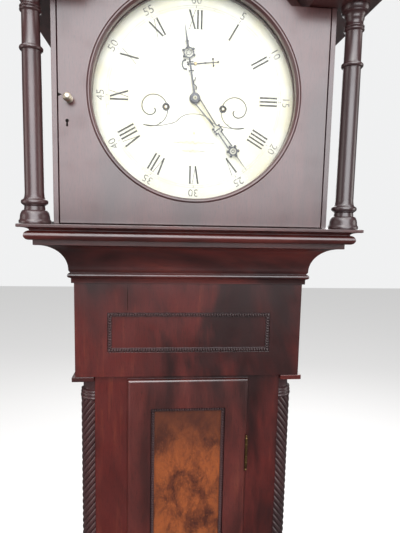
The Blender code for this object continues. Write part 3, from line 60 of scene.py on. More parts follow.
# %% [markdown]
# ## The eye
#
# The clock is seen from close by, a little left of its middle and at the height of the hood's base,
# with the lens turned up slightly. A moderately long lens (39 mm) keeps the hood's lines nearly
# parallel. The camera comes first, because every later choice is judged through it.

# %% Camera
EYE = Vector((-0.0522, -0.7923, 1.6159))
TURN, RISE, LEAN = 0.0906, -0.115, 0.0207
LENS = 39.01


def look_matrix(turn, rise, lean):
    """Rotation of a camera that looks along +Y, turned right, tipped up and leaned."""
    ahead = Vector((math.sin(turn) * math.cos(rise), math.cos(turn) * math.cos(rise), math.sin(rise)))
    right = Vector((math.cos(turn), -math.sin(turn), 0))
    up = right.cross(ahead)
    right_leaned = right * math.cos(lean) + up * math.sin(lean)
    up_leaned = up * math.cos(lean) - right * math.sin(lean)
    return Matrix((right_leaned, up_leaned, -ahead)).transposed().to_4x4()


lens = bpy.data.cameras.new("eye")
lens.lens = LENS
lens.sensor_width = 36
lens.sensor_fit = "HORIZONTAL"
lens.clip_start = 0.01
eye = bpy.data.objects.new("eye", lens)
scene.collection.objects.link(eye)
eye.matrix_world = Matrix.Translation(EYE) @ look_matrix(TURN, RISE, LEAN)
scene.camera = eye
print("camera at", tuple(EYE))

# %% [markdown]
# ## Places read from the frame
#
# The dial's centre, the hood's edges and the doors' corners are read from the CAD nodes, so most pieces
# follow a change in the model. A few sizes that no node's box shows on its own, such as the radius of
# the arch and the width of the trunk, are typed below. They match the model and change with it by hand.

# %% Read the places
def corners(node):
    low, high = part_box(node)
    return Vector(low), Vector(high)


base_low = corners("hood_base_moulding")[0]
door_low, door_high = corners("hood_door")
dial_low, dial_high = corners("dial")
glass_low, glass_high = corners("hood_door_glass")
mask_low, mask_high = corners("hood_mask")
shell_high = corners("hood_shell")[1]
head_low, head_high = corners("hood_pediment")
throat_low, throat_high = corners("frieze_and_throat")
front_low, front_high = corners("trunk_front")
tdoor_low, tdoor_high = corners("trunk_door_frame")
panel_low, panel_high = corners("trunk_door_panel")
waist_low, waist_high = corners("waist_moulding")
plinth_low, plinth_high = corners("plinth_box")
skirt_high = corners("plinth_skirting")[1]
back_low, back_high = corners("backboard")
bob_low, bob_high = corners("pendulum_bob")

SEAT_Z = 1.600
CENTRE = Vector((0, dial_low.y, (dial_low.z + dial_high.z) / 2))
DIAL_R = (dial_high.x - dial_low.x) / 2
SIGHT_R = (glass_high.x - glass_low.x) / 2 - 0.0057
WALL_Y = back_high.y
HOOD_HALF = shell_high.x
HOOD_FRONT = door_low.y
SHOULDER_Z = 1.9465
SOFFIT_Z = head_low.z if head_low.z > 1.94 else 1.947
TRUNK_HALF = 0.192
TRUNK_FRONT = front_low.y
BLOCK_HALF = 0.200
BLOCK_FRONT = TRUNK_FRONT - 0.008
PLINTH_HALF = plinth_high.x
PLINTH_FRONT = TRUNK_FRONT - 0.033
print("dial centre", tuple(round(v, 4) for v in CENTRE), "visible radius", round(SIGHT_R, 4))

# %% [markdown]
# ## Shader arithmetic as expressions
#
# Grain, figure and wear are sums and products of noises. Written as node calls they are unreadable,
# so a small class wraps a node's output and lets +, -, * and / add the Math nodes. Every other node
# comes from one method that sets its options first and its sockets after.

# %% The socket wrapper
class Value:
    def __init__(self, tree, socket):
        self.tree = tree
        self.socket = socket

    def math(self, operation, other=None, third=None):
        return make(self.tree, "Math", {"operation": operation}, {0: self, 1: other, 2: third})

    def __add__(self, other):
        return self.math("ADD", other)

    def __sub__(self, other):
        return self.math("SUBTRACT", other)

    def __mul__(self, other):
        return self.math("MULTIPLY", other)

    def __truediv__(self, other):
        return self.math("DIVIDE", other)

    def __rsub__(self, other):
        return make(self.tree, "Math", {"operation": "SUBTRACT"}, {0: other, 1: self})

    __radd__ = __add__
    __rmul__ = __mul__

    def clamp(self, low=0.0, high=1.0):
        return self.math("MAXIMUM", low).math("MINIMUM", high)

    def between(self, low, high):
        """0 below low, 1 above high, smooth in between."""
        node = {"interpolation_type": "SMOOTHSTEP"}
        return make(self.tree, "MapRange", node, {0: self, 1: low, 2: high})


def make(tree, kind, settings=None, sockets=None, out=0):
    """Add one node: its settings, then the values or links of its sockets; returns an output."""
    node = tree.nodes.new("ShaderNode" + kind)
    for key, value in (settings or {}).items():
        setattr(node, key, value)
    for key, value in (sockets or {}).items():
        if value is None:
            continue
        if isinstance(value, Value):
            tree.links.new(value.socket, node.inputs[key])
        else:
            node.inputs[key].default_value = value
    return Value(tree, node.outputs[out])


def blend_colour(tree, amount, one, two):
    """Mix two colours by a value."""
    return make(tree, "Mix", {"data_type": "RGBA"}, {0: amount, 6: one, 7: two}, 2)


def tint(r, g, b):
    return (r, g, b, 1.0)


def finish(name, fixed, build):
    """A Principled finish: fixed socket values first, then build(tree, shader) adds what varies."""
    made = bpy.data.materials.new(name)
    made.use_nodes = True
    tree = made.node_tree
    shader = tree.nodes["Principled BSDF"]
    for key, value in fixed.items():
        shader.inputs[key].default_value = value
    build(tree, shader)
    print("finish", name)
    return made


def feed(tree, shader, **links):
    """Link values to the shader's sockets by name, with _ for a space."""
    for key, value in links.items():
        tree.links.new(value.socket, shader.inputs[key.replace("_", " ")])


def place(tree, scale=(1, 1, 1), turn=(0, 0, 0)):
    """Object coordinates, stretched so that a pattern runs with the piece."""
    coordinates = make(tree, "TexCoord", out=3)
    return make(tree, "Mapping", sockets={0: coordinates, 2: turn, 3: scale})


def noise(tree, at, scale, detail=3.0, rough=0.5, twist=0.0):
    return make(tree, "TexNoise", sockets={0: at, 2: scale, 3: detail, 4: rough, 8: twist})


# %% [markdown]
# ## French-polished mahogany
#
# Old Cuban mahogany is deep red-brown, darker where polish and wax have built up and warmer where
# hands have worn it. Three scales carry it: slow clouds of tone, streaks that run with the grain, and
# short dark pores. The polish is a clear coat over the wood; it isn't perfectly flat, so a slow bump
# lets reflections swim, and its dullness changes from place to place. The grain runs along one axis,
# so the same finish is made once for upright boards and once for mouldings that run across.

# %% Mahogany
GRAIN = {"Z": (1.0, 1.0, 0.07), "X": (0.07, 1.0, 1.0), "Y": (1.0, 0.07, 1.0)}


def mahogany(name, along, deep, red, warm, coat=0.85, dull=0.13):
    def build(tree, shader):
        at = place(tree, GRAIN[along])
        free = place(tree)
        cloud = noise(tree, place(tree, tuple(0.3 + 0.7 * v for v in GRAIN[along])), 9.0, 4.0, 0.55, 0.6)
        streak = noise(tree, at, 150.0, 5.0, 0.62, 0.3)
        fine = noise(tree, at, 620.0, 2.0, 0.5)
        pore = noise(tree, at, 1500.0, 1.0, 0.5).between(0.60, 0.70)
        body = blend_colour(tree, cloud.between(0.36, 0.62), tint(*deep), tint(*red))
        body = blend_colour(tree, (streak.between(0.48, 0.74)) * cloud.between(0.42, 0.70) * 0.45, body,
                            tint(*warm))
        body = blend_colour(tree, fine.between(0.52, 0.80) * 0.35, body, tint(*[v * 0.35 for v in deep]))
        body = blend_colour(tree, pore * 0.5, body, tint(*[v * 0.22 for v in deep]))
        wax = noise(tree, free, 22.0, 4.0, 0.6)
        swim = noise(tree, free, 11.0, 2.0, 0.4)
        height = swim * 1.0 + streak * 0.05 - pore * 0.03
        bump = make(tree, "Bump", sockets={0: 0.10, 1: 0.004, "Height": height})
        feed(tree, shader, Base_Color=body, Roughness=0.26 + wax * 0.22, Normal=bump,
             Coat_Weight=(coat - wax.between(0.5, 0.8) * 0.25).clamp())

    fixed = {"IOR": 1.5, "Coat Roughness": dull, "Coat IOR": 1.55}
    return finish(name, fixed, build)


upright = mahogany("mahogany_upright", "Z", (0.015, 0.0019, 0.0018), (0.072, 0.0062, 0.0045),
                   (0.15, 0.026, 0.010))
across = mahogany("mahogany_across", "X", (0.018, 0.0024, 0.0022), (0.068, 0.0070, 0.0050),
                  (0.14, 0.022, 0.009))
# The hood's mahogany is paler and greyer: a mauve that paints the sky's sheen on the polish over the wood's
# own red-brown.
hood_wood_painted_sheen = mahogany("mahogany_hood_painted_sheen", "Z", (0.034, 0.0110, 0.0110), (0.060, 0.0170, 0.0165),
                     (0.085, 0.022, 0.018), 0.9, 0.24)
# Turned work and beads get a greyer, paler mahogany: painted sheen on their rounds over the wood's own
# red-brown.
turned_wood_painted_sheen = mahogany("mahogany_turned_painted_sheen", "Z", (0.026, 0.0110, 0.0120), (0.046, 0.0160, 0.0165),
                       (0.075, 0.020, 0.017), 0.8, 0.30)
dark_wood = mahogany("mahogany_dark", "Z", (0.016, 0.0030, 0.0028), (0.058, 0.0080, 0.0062),
                     (0.10, 0.020, 0.010))

door_wood = mahogany("mahogany_door", "Z", (0.020, 0.0036, 0.0032), (0.075, 0.0105, 0.0080),
                     (0.15, 0.032, 0.015), 1.0, 0.15)

# %% [markdown]
# ## Flame veneer for the door's panel
#
# The trunk door's panel is cut from a crotch or burr, so its figure is cloudy and orange with dark
# drifts, quite unlike the straight grain round it. Two noises bent by a third give the drifts, and a
# fine speckle gives the burr's eyes. A painted shade darkens the panel towards its top edge.

# %% Flame veneer
def flame(tree, shader):
    at = place(tree, (1.0, 1.0, 0.55))
    drift = noise(tree, at, 34.0, 8.0, 0.70, 0.35)
    eyes = noise(tree, place(tree, (1, 1, 0.8)), 130.0, 4.0, 0.65, 0.8)
    speck = noise(tree, place(tree, (1, 1, 0.6)), 420.0, 2.0, 0.6)
    # Painted shade: the colour is darkened towards the panel's top edge.
    upper = panel_high.z
    rise = make(tree, "SeparateXYZ", sockets={0: make(tree, "TexCoord", out=3)}, out=2)
    painted_top_shade = rise.between(upper - 0.13, upper - 0.005) * 0.8
    body = blend_colour(tree, drift.between(0.34, 0.64), tint(0.040, 0.008, 0.004), tint(0.21, 0.048, 0.008))
    body = blend_colour(tree, eyes.between(0.50, 0.72) * 0.65, body, tint(0.10, 0.020, 0.006))
    body = blend_colour(tree, speck.between(0.55, 0.80) * 0.4, body, tint(0.36, 0.095, 0.014))
    body = blend_colour(tree, painted_top_shade, body, tint(0.05, 0.012, 0.006))
    bump = make(tree, "Bump", sockets={0: 0.10, 1: 0.003, "Height": drift + eyes * 0.05})
    feed(tree, shader, Base_Color=body, Roughness=0.28 + eyes * 0.15, Normal=bump)


veneer = finish("flame_veneer", {"IOR": 1.5, "Coat Weight": 0.8, "Coat Roughness": 0.12},
                flame)

# %% [markdown]
# ## Metals, silvering, deal, gut and glass
#
# Brass tarnishes in patches and is brushed round by the lathe; steel is greyer and finer. The dial is
# brass silvered with a chalky, warm white, slightly yellowed in places. The backboard is plain deal,
# sawn and never polished.

# %% Metals
def metal(name, light, dark, rough, patch=60.0, grain=900.0):
    def build(tree, shader):
        at = place(tree)
        spot = noise(tree, at, patch, 5.0, 0.6)
        line = noise(tree, place(tree, (1, 0.12, 1)), grain, 2.0, 0.5)
        body = blend_colour(tree, spot.between(0.45, 0.70), tint(*light), tint(*dark))
        bump = make(tree, "Bump", sockets={0: 0.08, 1: 0.0005, "Height": line})
        feed(tree, shader, Base_Color=body, Roughness=rough + spot * 0.18 + line * 0.08, Normal=bump)

    return finish(name, {"Metallic": 1.0}, build)


brass = metal("brass_aged", (0.62, 0.43, 0.16), (0.34, 0.21, 0.08), 0.20)
pale_brass = metal("brass_pale", (0.80, 0.70, 0.56), (0.55, 0.44, 0.32), 0.30)
dull_brass = metal("brass_dull", (0.17, 0.105, 0.045), (0.07, 0.04, 0.02), 0.38)
steel = metal("steel_bright", (0.44, 0.45, 0.47), (0.24, 0.24, 0.26), 0.18)
blued = metal("steel_blued", (0.13, 0.13, 0.14), (0.07, 0.07, 0.08), 0.40)
iron = metal("iron_cast", (0.09, 0.09, 0.092), (0.05, 0.045, 0.042), 0.5, 40.0, 300.0)
bell_metal = metal("bell_bronze", (0.50, 0.36, 0.19), (0.30, 0.20, 0.10), 0.22)


# %% Silvering and black wax
def silvered(tree, shader):
    at = place(tree)
    cloud = noise(tree, at, 14.0, 4.0, 0.6)
    spot = noise(tree, at, 160.0, 3.0, 0.6)
    body = blend_colour(tree, cloud.between(0.40, 0.66), tint(0.73, 0.715, 0.635), tint(0.73, 0.68, 0.52))
    body = blend_colour(tree, spot.between(0.60, 0.80) * 0.25, body, tint(0.60, 0.55, 0.42))
    bump = make(tree, "Bump", sockets={0: 0.05, 1: 0.0004, "Height": spot})
    feed(tree, shader, Base_Color=body, Roughness=0.42 + cloud * 0.12, Normal=bump)


def waxed(tree, shader):
    worn = noise(tree, place(tree), 260.0, 4.0, 0.6)
    feed(tree, shader, Base_Color=blend_colour(tree, worn.between(0.50, 0.75), tint(0.055, 0.052, 0.05),
                                               tint(0.20, 0.19, 0.175)))


def faint_wax(tree, shader):
    worn = noise(tree, place(tree), 200.0, 4.0, 0.6)
    feed(tree, shader, Base_Color=blend_colour(tree, worn.between(0.42, 0.66), tint(0.14, 0.135, 0.125),
                                               tint(0.40, 0.38, 0.34)))


silver = finish("dial_silvering", {"Metallic": 0.15, "Specular IOR Level": 0.4}, silvered)
wax = finish("engraving_wax", {"Roughness": 0.6}, waxed)
pale_wax = finish("engraving_faint", {"Roughness": 0.6}, faint_wax)


# %% Deal, gut and glass
def sawn(tree, shader):
    at = place(tree, (1, 1, 0.06))
    ring = noise(tree, at, 45.0, 4.0, 0.6, 0.5)
    saw = noise(tree, place(tree, (0.05, 1, 1)), 700.0, 2.0, 0.5)
    body = blend_colour(tree, ring.between(0.40, 0.62), tint(0.30, 0.17, 0.075), tint(0.17, 0.085, 0.035))
    bump = make(tree, "Bump", sockets={0: 0.35, 1: 0.001, "Height": saw + ring * 0.5})
    feed(tree, shader, Base_Color=body, Roughness=0.72 + saw * 0.15, Normal=bump)


def twisted_gut(tree, shader):
    rise = make(tree, "SeparateXYZ", sockets={0: make(tree, "TexCoord", out=3)}, out=2)
    strand = (rise * 2600.0).math("SINE")
    tone = noise(tree, place(tree), 120.0)
    body = blend_colour(tree, tone, tint(0.55, 0.38, 0.17), tint(0.36, 0.22, 0.09))
    bump = make(tree, "Bump", sockets={0: 0.4, 1: 0.0004, "Height": strand})
    feed(tree, shader, Base_Color=body, Normal=bump)


def old_glass(tree, shader):
    wave = noise(tree, place(tree), 7.0, 1.0)
    dust = noise(tree, place(tree), 60.0, 4.0, 0.6)
    bump = make(tree, "Bump", sockets={0: 0.03, 1: 0.002, "Height": wave})
    clear = make(tree, "BsdfTransparent", sockets={0: tint(0.97, 0.975, 0.97)})
    facing = make(tree, "Fresnel", sockets={0: 1.45})
    out = tree.nodes["Material Output"]
    seen = make(tree, "MixShader", sockets={0: facing * 0.6 + dust.between(0.6, 0.85) * 0.02, 1: clear,
                                            2: Value(tree, shader.outputs[0])})
    feed(tree, shader, Normal=bump)
    tree.links.new(seen.socket, out.inputs[0])


deal = finish("deal_sawn", {}, sawn)
gut = finish("gut_line", {"Roughness": 0.45}, twisted_gut)
glass = finish("old_glass", {"Base Color": tint(0.95, 0.97, 0.97), "Roughness": 0.03,
                                      "Metallic": 0.0}, old_glass)

# %% [markdown]
# ## How a piece is finished
#
# Each shape below is a bmesh. One function closes it, gives it its material, eases its sharp edges
# with a hair-fine bevel (real corners are never knife sharp, and the bevel catches the light), lets it
# ride on its body and hides the CAD nodes it stands for.

# %% Finish and ride
def piece(bm, name, material, body, *nodes, ease=0.0005, smooth=32):
    bmesh.ops.remove_doubles(bm, verts=bm.verts, dist=1e-6)
    bmesh.ops.recalc_face_normals(bm, faces=bm.faces)
    mesh = bpy.data.meshes.new(name)
    bm.to_mesh(mesh)
    bm.free()
    mesh.materials.append(material)
    made = bpy.data.objects.new(name, mesh)
    scene.collection.objects.link(made)
    mesh.shade_smooth()
    mesh.set_sharp_from_angle(angle=math.radians(smooth))
    if ease:
        edge = made.modifiers.new("eased edge", "BEVEL")
        edge.width = ease
        edge.segments = 2
        edge.limit_method = "ANGLE"
        edge.angle_limit = math.radians(smooth)
        edge.harden_normals = True
    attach(made, body)
    if nodes:
        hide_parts(*nodes)
    print(f"{name}: {len(mesh.polygons)} faces on {body}")
    return made


def arc(cx, cz, radius, start, stop, steps):
    """Points on an arc, in degrees from +X."""
    turns = [math.radians(start + (stop - start) * i / steps) for i in range(steps + 1)]
    return [(cx + radius * math.cos(t), cz + radius * math.sin(t)) for t in turns]


# %% Shapes that many pieces share
def board(low, high, into=None):
    """A plain board between two corners."""
    bm = into or bmesh.new()
    made = bmesh.ops.create_cube(bm, size=1)["verts"]
    low, high = Vector(low), Vector(high)
    bmesh.ops.scale(bm, vec=high - low, verts=made)
    bmesh.ops.translate(bm, vec=(low + high) / 2, verts=made)
    return bm


def pushed(bm, faces, by):
    """Extrude faces and move what comes out."""
    out = bmesh.ops.extrude_face_region(bm, geom=faces)["geom"]
    bmesh.ops.translate(bm, vec=by, verts=[v for v in out if isinstance(v, bmesh.types.BMVert)])
    return [f for f in out if isinstance(f, bmesh.types.BMFace)]


def fretted(outline, front, back, *holes):
    """A flat board sawn to an outline in X and Z, with round or shaped holes."""
    bm = bmesh.new()
    edges = []
    for loop in (outline, *holes):
        dots = [bm.verts.new((x, front, z)) for x, z in loop]
        edges += [bm.edges.new((a, b)) for a, b in zip(dots, dots[1:] + dots[:1])]
    made = bmesh.ops.triangle_fill(bm, edges=edges, use_beauty=True)["geom"]
    pushed(bm, [f for f in made if isinstance(f, bmesh.types.BMFace)], (0, back - front, 0))
    return bm


def run_round(section, half, front, back=None):
    """A moulding along the left side, the front and the right side, mitred at both corners.

    The section is a closed line of (outwards, z) points. It is drawn at the back left, pushed to the
    front with a shear that cuts the mitre, mirrored to the other corner and pushed to the back again.
    """
    bm = bmesh.new()
    back = WALL_Y if back is None else back
    face = bm.faces.new([bm.verts.new((-(half + out), back, z)) for out, z in section])
    mitre = Matrix(((1, 0, 0, 0), (1, 0, 0, front + half), (0, 0, 1, 0), (0, 0, 0, 1)))
    for change in (mitre, Matrix.Diagonal((-1, 1, 1, 1)), Matrix.Translation((0, back, 0)) @
                   Matrix.Diagonal((1, 0, 1, 1))):
        out = bmesh.ops.extrude_face_region(bm, geom=[face])["geom"]
        bmesh.ops.transform(bm, matrix=change, verts=[v for v in out if isinstance(v, bmesh.types.BMVert)])
        face = next(f for f in out if isinstance(f, bmesh.types.BMFace))
    return bm


def turned(profile, at, axis="Z", steps=48, into=None):
    """A profile of (radius, distance along the axis) spun on the lathe."""
    bm = into or bmesh.new()
    along = Vector((0, 0, 1)) if axis == "Z" else Vector((0, 1, 0))
    dots = [bm.verts.new((r, 0, h) if axis == "Z" else (r, h, 0)) for r, h in profile]
    edges = [bm.edges.new(pair) for pair in zip(dots, dots[1:])]
    before = set(bm.verts) - set(dots)
    bmesh.ops.spin(bm, geom=dots + edges, cent=(0, 0, 0), axis=along, angle=math.tau, steps=steps,
                   use_merge=True)
    made = [v for v in bm.verts if v not in before]
    bmesh.ops.translate(bm, vec=at, verts=made)
    bmesh.ops.remove_doubles(bm, verts=made, dist=1e-6)
    return bm


# %% [markdown]
# ## Hood: base moulding
#
# The hood sits on the trunk's throat and slides off forwards. Its base is one moulding round three
# sides: a square nosing, a small hollow and a fat half-round below. The cabinetmaker planes it as one
# length and mitres it at the corners, and the shear in run_round does the same.

# %% Hood base
def half_round(out, low, radius, steps=10):
    """The swelling part of a moulding, from its foot to its crown."""
    return [(out + radius * math.cos(t), low + radius + radius * math.sin(t))
            for t in (math.radians(-90 + 180 * i / steps) for i in range(steps + 1))]


def hollow(start, stop, steps=8):
    """A quarter hollow from one (out, z) point to another, sagging inwards."""
    (x0, z0), (x1, z1) = start, stop
    return [(x0 + (x1 - x0) * (1 - math.cos(t)), z0 + (z1 - z0) * math.sin(t))
            for t in (math.radians(90 * i / steps) for i in range(steps + 1))]


NOSE = -base_low.y + HOOD_FRONT
base_top, base_foot = SEAT_Z, base_low.z if base_low.z > 1.5 else SEAT_Z - 0.0245
inside = TRUNK_HALF + 0.002 - HOOD_HALF
section = ([(inside, base_foot)] + half_round(NOSE - 0.0150, base_foot, 0.0072)
           + hollow((NOSE - 0.0150, base_foot + 0.0148), (NOSE - 0.0020, base_top - 0.0050))
           + [(NOSE, base_top - 0.0044), (NOSE, base_top - 0.0004), (NOSE - 0.0004, base_top),
              (inside, base_top)])
piece(run_round(section, HOOD_HALF, HOOD_FRONT), "hood_base", across, "hood", "hood_base_moulding",
      ease=0.0003)

# %% [markdown]
# ## Hood: sides, mask and roof
#
# Behind the columns the hood is a plain box: two side boards, a mask that frames the dial, and a thin
# bent roof behind the arch.

# %% Hood box
ARCH_R = 0.226
FASCIA_T = 0.072
ROOF_R = ARCH_R + FASCIA_T - 0.020
SIDE_T = 0.008
inner_half = HOOD_HALF - SIDE_T - 0.0003


def break_arch(half, low, shoulder, radius, steps):
    """A rectangle with a round head struck from the dial's centre."""
    angle = math.degrees(math.asin((shoulder - CENTRE.z) / radius))
    return ([(-half, low), (half, low), (half, shoulder)]
            + arc(0, CENTRE.z, radius, angle, 180 - angle, steps) + [(-half, shoulder)])


for side, word in ((-1, "left"), (1, "right")):
    near, far = side * (HOOD_HALF - SIDE_T), side * HOOD_HALF
    bm = board((min(near, far), HOOD_FRONT, SEAT_Z + 0.0003), (max(near, far), WALL_Y, SHOULDER_Z - 0.0003))
    made = piece(bm, "hood_side_" + word, hood_wood_painted_sheen, "hood")
    if side < 0:
        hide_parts("hood_shell")

angle = math.degrees(math.acos(inner_half / ROOF_R))
roof = (arc(0, CENTRE.z, ROOF_R, angle, 180 - angle, 40) + [(-inner_half, SHOULDER_Z - 0.010)]
        + [(-inner_half + 0.006, SHOULDER_Z - 0.010)]
        + arc(0, CENTRE.z, ROOF_R - 0.006, 180 - angle, angle,
              40) + [(inner_half - 0.006, SHOULDER_Z - 0.010)]
        + [(inner_half, SHOULDER_Z - 0.010)])
piece(fretted(roof, mask_high.y + 0.0003, back_low.y - 0.0003), "hood_roof", deal, "hood")
sight = arc(0, CENTRE.z, SIGHT_R + 0.001, 0, 360, 96)[:-1]
mask = break_arch(inner_half, SEAT_Z + 0.0003, SHOULDER_Z, ARCH_R - 0.0003, 48)
piece(fretted(mask, mask_low.y, mask_high.y, sight), "hood_mask_board", dark_wood, "hood", "hood_mask")

# %% [markdown]
# ## Hood: arched fascia and cornice
#
# The fascia overhangs the door and rises over it in an arch struck from the dial's centre. The
# cornice on top follows it: spun round the same centre over the arch, and mitred round the corners
# along the straight parts. Both use one section, so the lines meet.

# %% Fascia
fascia_half = head_high.x - 0.012
fascia_front = head_low.y + 0.012
fascia_top = SOFFIT_Z + 0.062
OUTER_R = ARCH_R + FASCIA_T
inner_a = math.degrees(math.asin((SOFFIT_Z - CENTRE.z) / ARCH_R))
outer_a = math.degrees(math.asin((fascia_top - CENTRE.z) / OUTER_R))
shape = ([(-fascia_half, SOFFIT_Z)] + arc(0, CENTRE.z, ARCH_R, 180 - inner_a, inner_a, 64)
         + [(fascia_half, SOFFIT_Z), (fascia_half, fascia_top)]
         + arc(0, CENTRE.z, OUTER_R, outer_a, 180 - outer_a, 64) + [(-fascia_half, fascia_top)])
piece(fretted(shape, fascia_front, mask_high.y), "hood_fascia", hood_wood_painted_sheen, "hood", "hood_pediment")
for side, word in ((-1, "left"), (1, "right")):
    near, far = side * (HOOD_HALF - SIDE_T), side * fascia_half
    bm = board((min(near, far), mask_high.y - 0.001, SOFFIT_Z), (max(near, far), WALL_Y, fascia_top))
    piece(bm, "hood_frieze_" + word, hood_wood_painted_sheen, "hood")

# %% Cornice and arch beads
CROWN = ([(0.0, -0.0100), (0.0012, -0.0100), (0.0018, -0.0060)] + hollow((0.0018, -0.0060), (0.0065, 0.0020))
         + [(0.0078, 0.0024), (0.0078, 0.0050)] + half_round(0.0078, 0.0050, 0.0032, 6)
         + [(0.0092, 0.0120), (0.0120, 0.0128), (0.0120, 0.0180), (-0.010, 0.0180), (-0.010, -0.0100)])


def arched(section, radius, front, start, stop, steps=64):
    """Spin a moulding section of (outwards, up) about the dial's centre."""
    bm = bmesh.new()
    turn = math.radians(start)
    dots = [bm.verts.new(((radius + up) * math.cos(turn), front - out, (radius + up) * math.sin(turn)))
            for out, up in section]
    face = bm.faces.new(dots)
    bmesh.ops.spin(bm, geom=[face], cent=(0, 0, 0), axis=(0, -1, 0), angle=math.radians(stop - start),
                   steps=steps)
    bmesh.ops.translate(bm, vec=(0, 0, CENTRE.z), verts=bm.verts)
    return bm


flat = run_round([(out, fascia_top + up) for out, up in CROWN], fascia_half, fascia_front)
piece(flat, "hood_cornice", across, "hood", ease=0.0003)
piece(arched(CROWN, OUTER_R, fascia_front, outer_a + 1.5, 178.5 - outer_a), "hood_cornice_arch", across,
      "hood",
      ease=0.0003)
BEAD = half_round(-0.0005, 0.0030, 0.0028, 8) + [(-0.003, 0.0086), (-0.003, 0.0030)]
piece(arched(BEAD, ARCH_R, fascia_front, inner_a + 1.0, 179 - inner_a), "hood_arch_bead", hood_wood_painted_sheen, "hood",
      ease=0)

# %% Cap over the arch and the finial
cap_r = OUTER_R + 0.018
cap = arc(0, CENTRE.z, cap_r - 0.0005, 180 - outer_a - 4, outer_a + 4, 64)
cap += arc(0, CENTRE.z, ROOF_R + 0.0005, outer_a + 8, 172 - outer_a, 64)
piece(fretted(cap, mask_high.y - 0.012, mask_high.y), "hood_arch_back", dark_wood, "hood")
f_low, f_high = corners("hood_finial")
f = f_low.z
ball = arc(0, f + 0.050, 0.0215, -52, 58, 12)
profile = ([(0, f), (0.0165, f), (0.0165, f + 0.004), (0.0140, f + 0.006), (0.0140, f + 0.011),
            (0.0100, f + 0.015),
            (0.0065, f + 0.020), (0.0062, f + 0.025), (0.0110, f + 0.028), (0.0110, f + 0.031)] + ball
           + [(0.0090, f + 0.0700), (0.0098, f + 0.0720), (0.0090, f + 0.0740), (0.0050, f + 0.078),
              (0.0036, f + 0.086), (0.0015, f + 0.095), (0, f_high.z)])
piece(turned(profile, ((f_low.x + f_high.x) / 2, (f_low.y + f_high.y) / 2, 0)), "finial_turned", brass,
      "hood",
      "hood_finial", ease=0)

# %% [markdown]
# ## Hood columns
#
# Two free-standing columns carry the entablature. Each is turned from one billet: a spreading base,
# a ring, a plain tapering shaft, a second ring near the top, a neck and a stepped capital. On a lathe
# the eye reads the fillets more than the shaft, so the profile spends its points there.

# %% Columns
def ring_at(r, z, size, swell):
    """A small half-round ring on a turned shaft."""
    return [(r + swell * math.sin(t), z + size * (1 - math.cos(t)) / 2) for t in
            (math.pi * i / 6 for i in range(7))]


def column_profile(low, high):
    r = 0.0143
    base = [(0, low), (0.0238, low), (0.0241, low + 0.0010), (0.0241, low + 0.0042), (0.0226, low + 0.0056)]
    base += [(0.0226, low + 0.0070)] + hollow((0.0222, low + 0.0080), (0.0158, low + 0.0205), 6)
    base += [(0.0152, low + 0.0262), (0.0168, low + 0.0278), (0.0182, low + 0.0286)]
    base += ring_at(0.0182, low + 0.0290, 0.0070, 0.0020) + [(0.0162, low + 0.0372), (0.0150, low + 0.0400)]
    shaft = [(r, low + 0.046), (r - 0.0003, high - 0.140), (r - 0.0006, high - 0.094)]
    shaft += ring_at(r, high - 0.0915, 0.0068, 0.0030)
    shaft += [(r - 0.0010, high - 0.082), (r - 0.0013, high - 0.038)]
    top = ring_at(r - 0.0006, high - 0.0365, 0.0040, 0.0020) + ring_at(r - 0.0004, high - 0.0318, 0.0034,
                                                                       0.0016)
    top += [(r - 0.0010, high - 0.0270), (r - 0.0008, high - 0.0205)]
    top += hollow((r + 0.0002, high - 0.0195), (0.0188, high - 0.0105), 5)
    top += [(0.0196, high - 0.0100), (0.0196, high - 0.0080), (0.0206, high - 0.0072),
            (0.0212, high - 0.0012),
            (0.0212, high), (0, high)]
    return base + shaft + top


for word in ("left", "right"):
    low, high = corners("hood_column_" + word)
    at = ((low.x + high.x) / 2, (low.y + high.y) / 2, 0)
    bm = turned(column_profile(low.z, high.z), at, steps=64)
    piece(bm, "column_turned_" + word, turned_wood_painted_sheen, "hood", "hood_column_" + word, ease=0, smooth=50)

# %% [markdown]
# ## Hood door
#
# The door is a board with a round head and a round sight. A half-round bead runs round the sight,
# and a step inside it holds the glass. The bead is a spun arc; the door is one sawn outline with one
# hole, its edges eased.

# %% Door, beads and rebate
HOOD_DOOR = "hood_door_leaf"
door_half = door_high.x
DOOR_HEAD_R = 0.2028
outline = break_arch(door_half, door_low.z, SHOULDER_Z - 0.001, DOOR_HEAD_R, 64)
hole = arc(0, CENTRE.z, SIGHT_R + 0.0070, 0, 360, 128)[:-1]
piece(fretted(outline, door_low.y, door_high.y, hole), "hood_door_board", hood_wood_painted_sheen, HOOD_DOOR, "hood_door",
      ease=0.0008)
front_ring = Vector((0, HOOD_FRONT + 0.0002, CENTRE.z))
lip = [(SIGHT_R + 0.0070, 0.0003), (SIGHT_R + 0.0064, -0.0005), (SIGHT_R + 0.0050, -0.0012),
       (SIGHT_R + 0.0034, -0.0011), (SIGHT_R + 0.0020, 0.0000), (SIGHT_R + 0.0014, 0.0018),
       (SIGHT_R + 0.0004, 0.0026), (SIGHT_R, 0.0040), (SIGHT_R, 0.0116), (SIGHT_R + 0.0070, 0.0116),
       (SIGHT_R + 0.0070, 0.0003)]
piece(turned(lip, front_ring, "Y", 160), "sight_bead", hood_wood_painted_sheen, HOOD_DOOR, ease=0.0002, smooth=40)
back_ring = [(SIGHT_R + 0.0072, 0.0145), (SIGHT_R + 0.0062, 0.0145), (SIGHT_R + 0.0062, 0.0192),
             (SIGHT_R + 0.0072, 0.0192), (SIGHT_R + 0.0072, 0.0145)]
piece(turned(back_ring, front_ring, "Y", 128), "sight_rebate", dark_wood, HOOD_DOOR, ease=0)

# %% Glass
pane = [(0, glass_low.y), (SIGHT_R + 0.0055, glass_low.y), (SIGHT_R + 0.0055, glass_high.y),
        (0, glass_high.y)]
piece(turned(pane, (0, 0, CENTRE.z), "Y", 96), "sight_glass", glass, HOOD_DOOR, "hood_door_glass", ease=0)

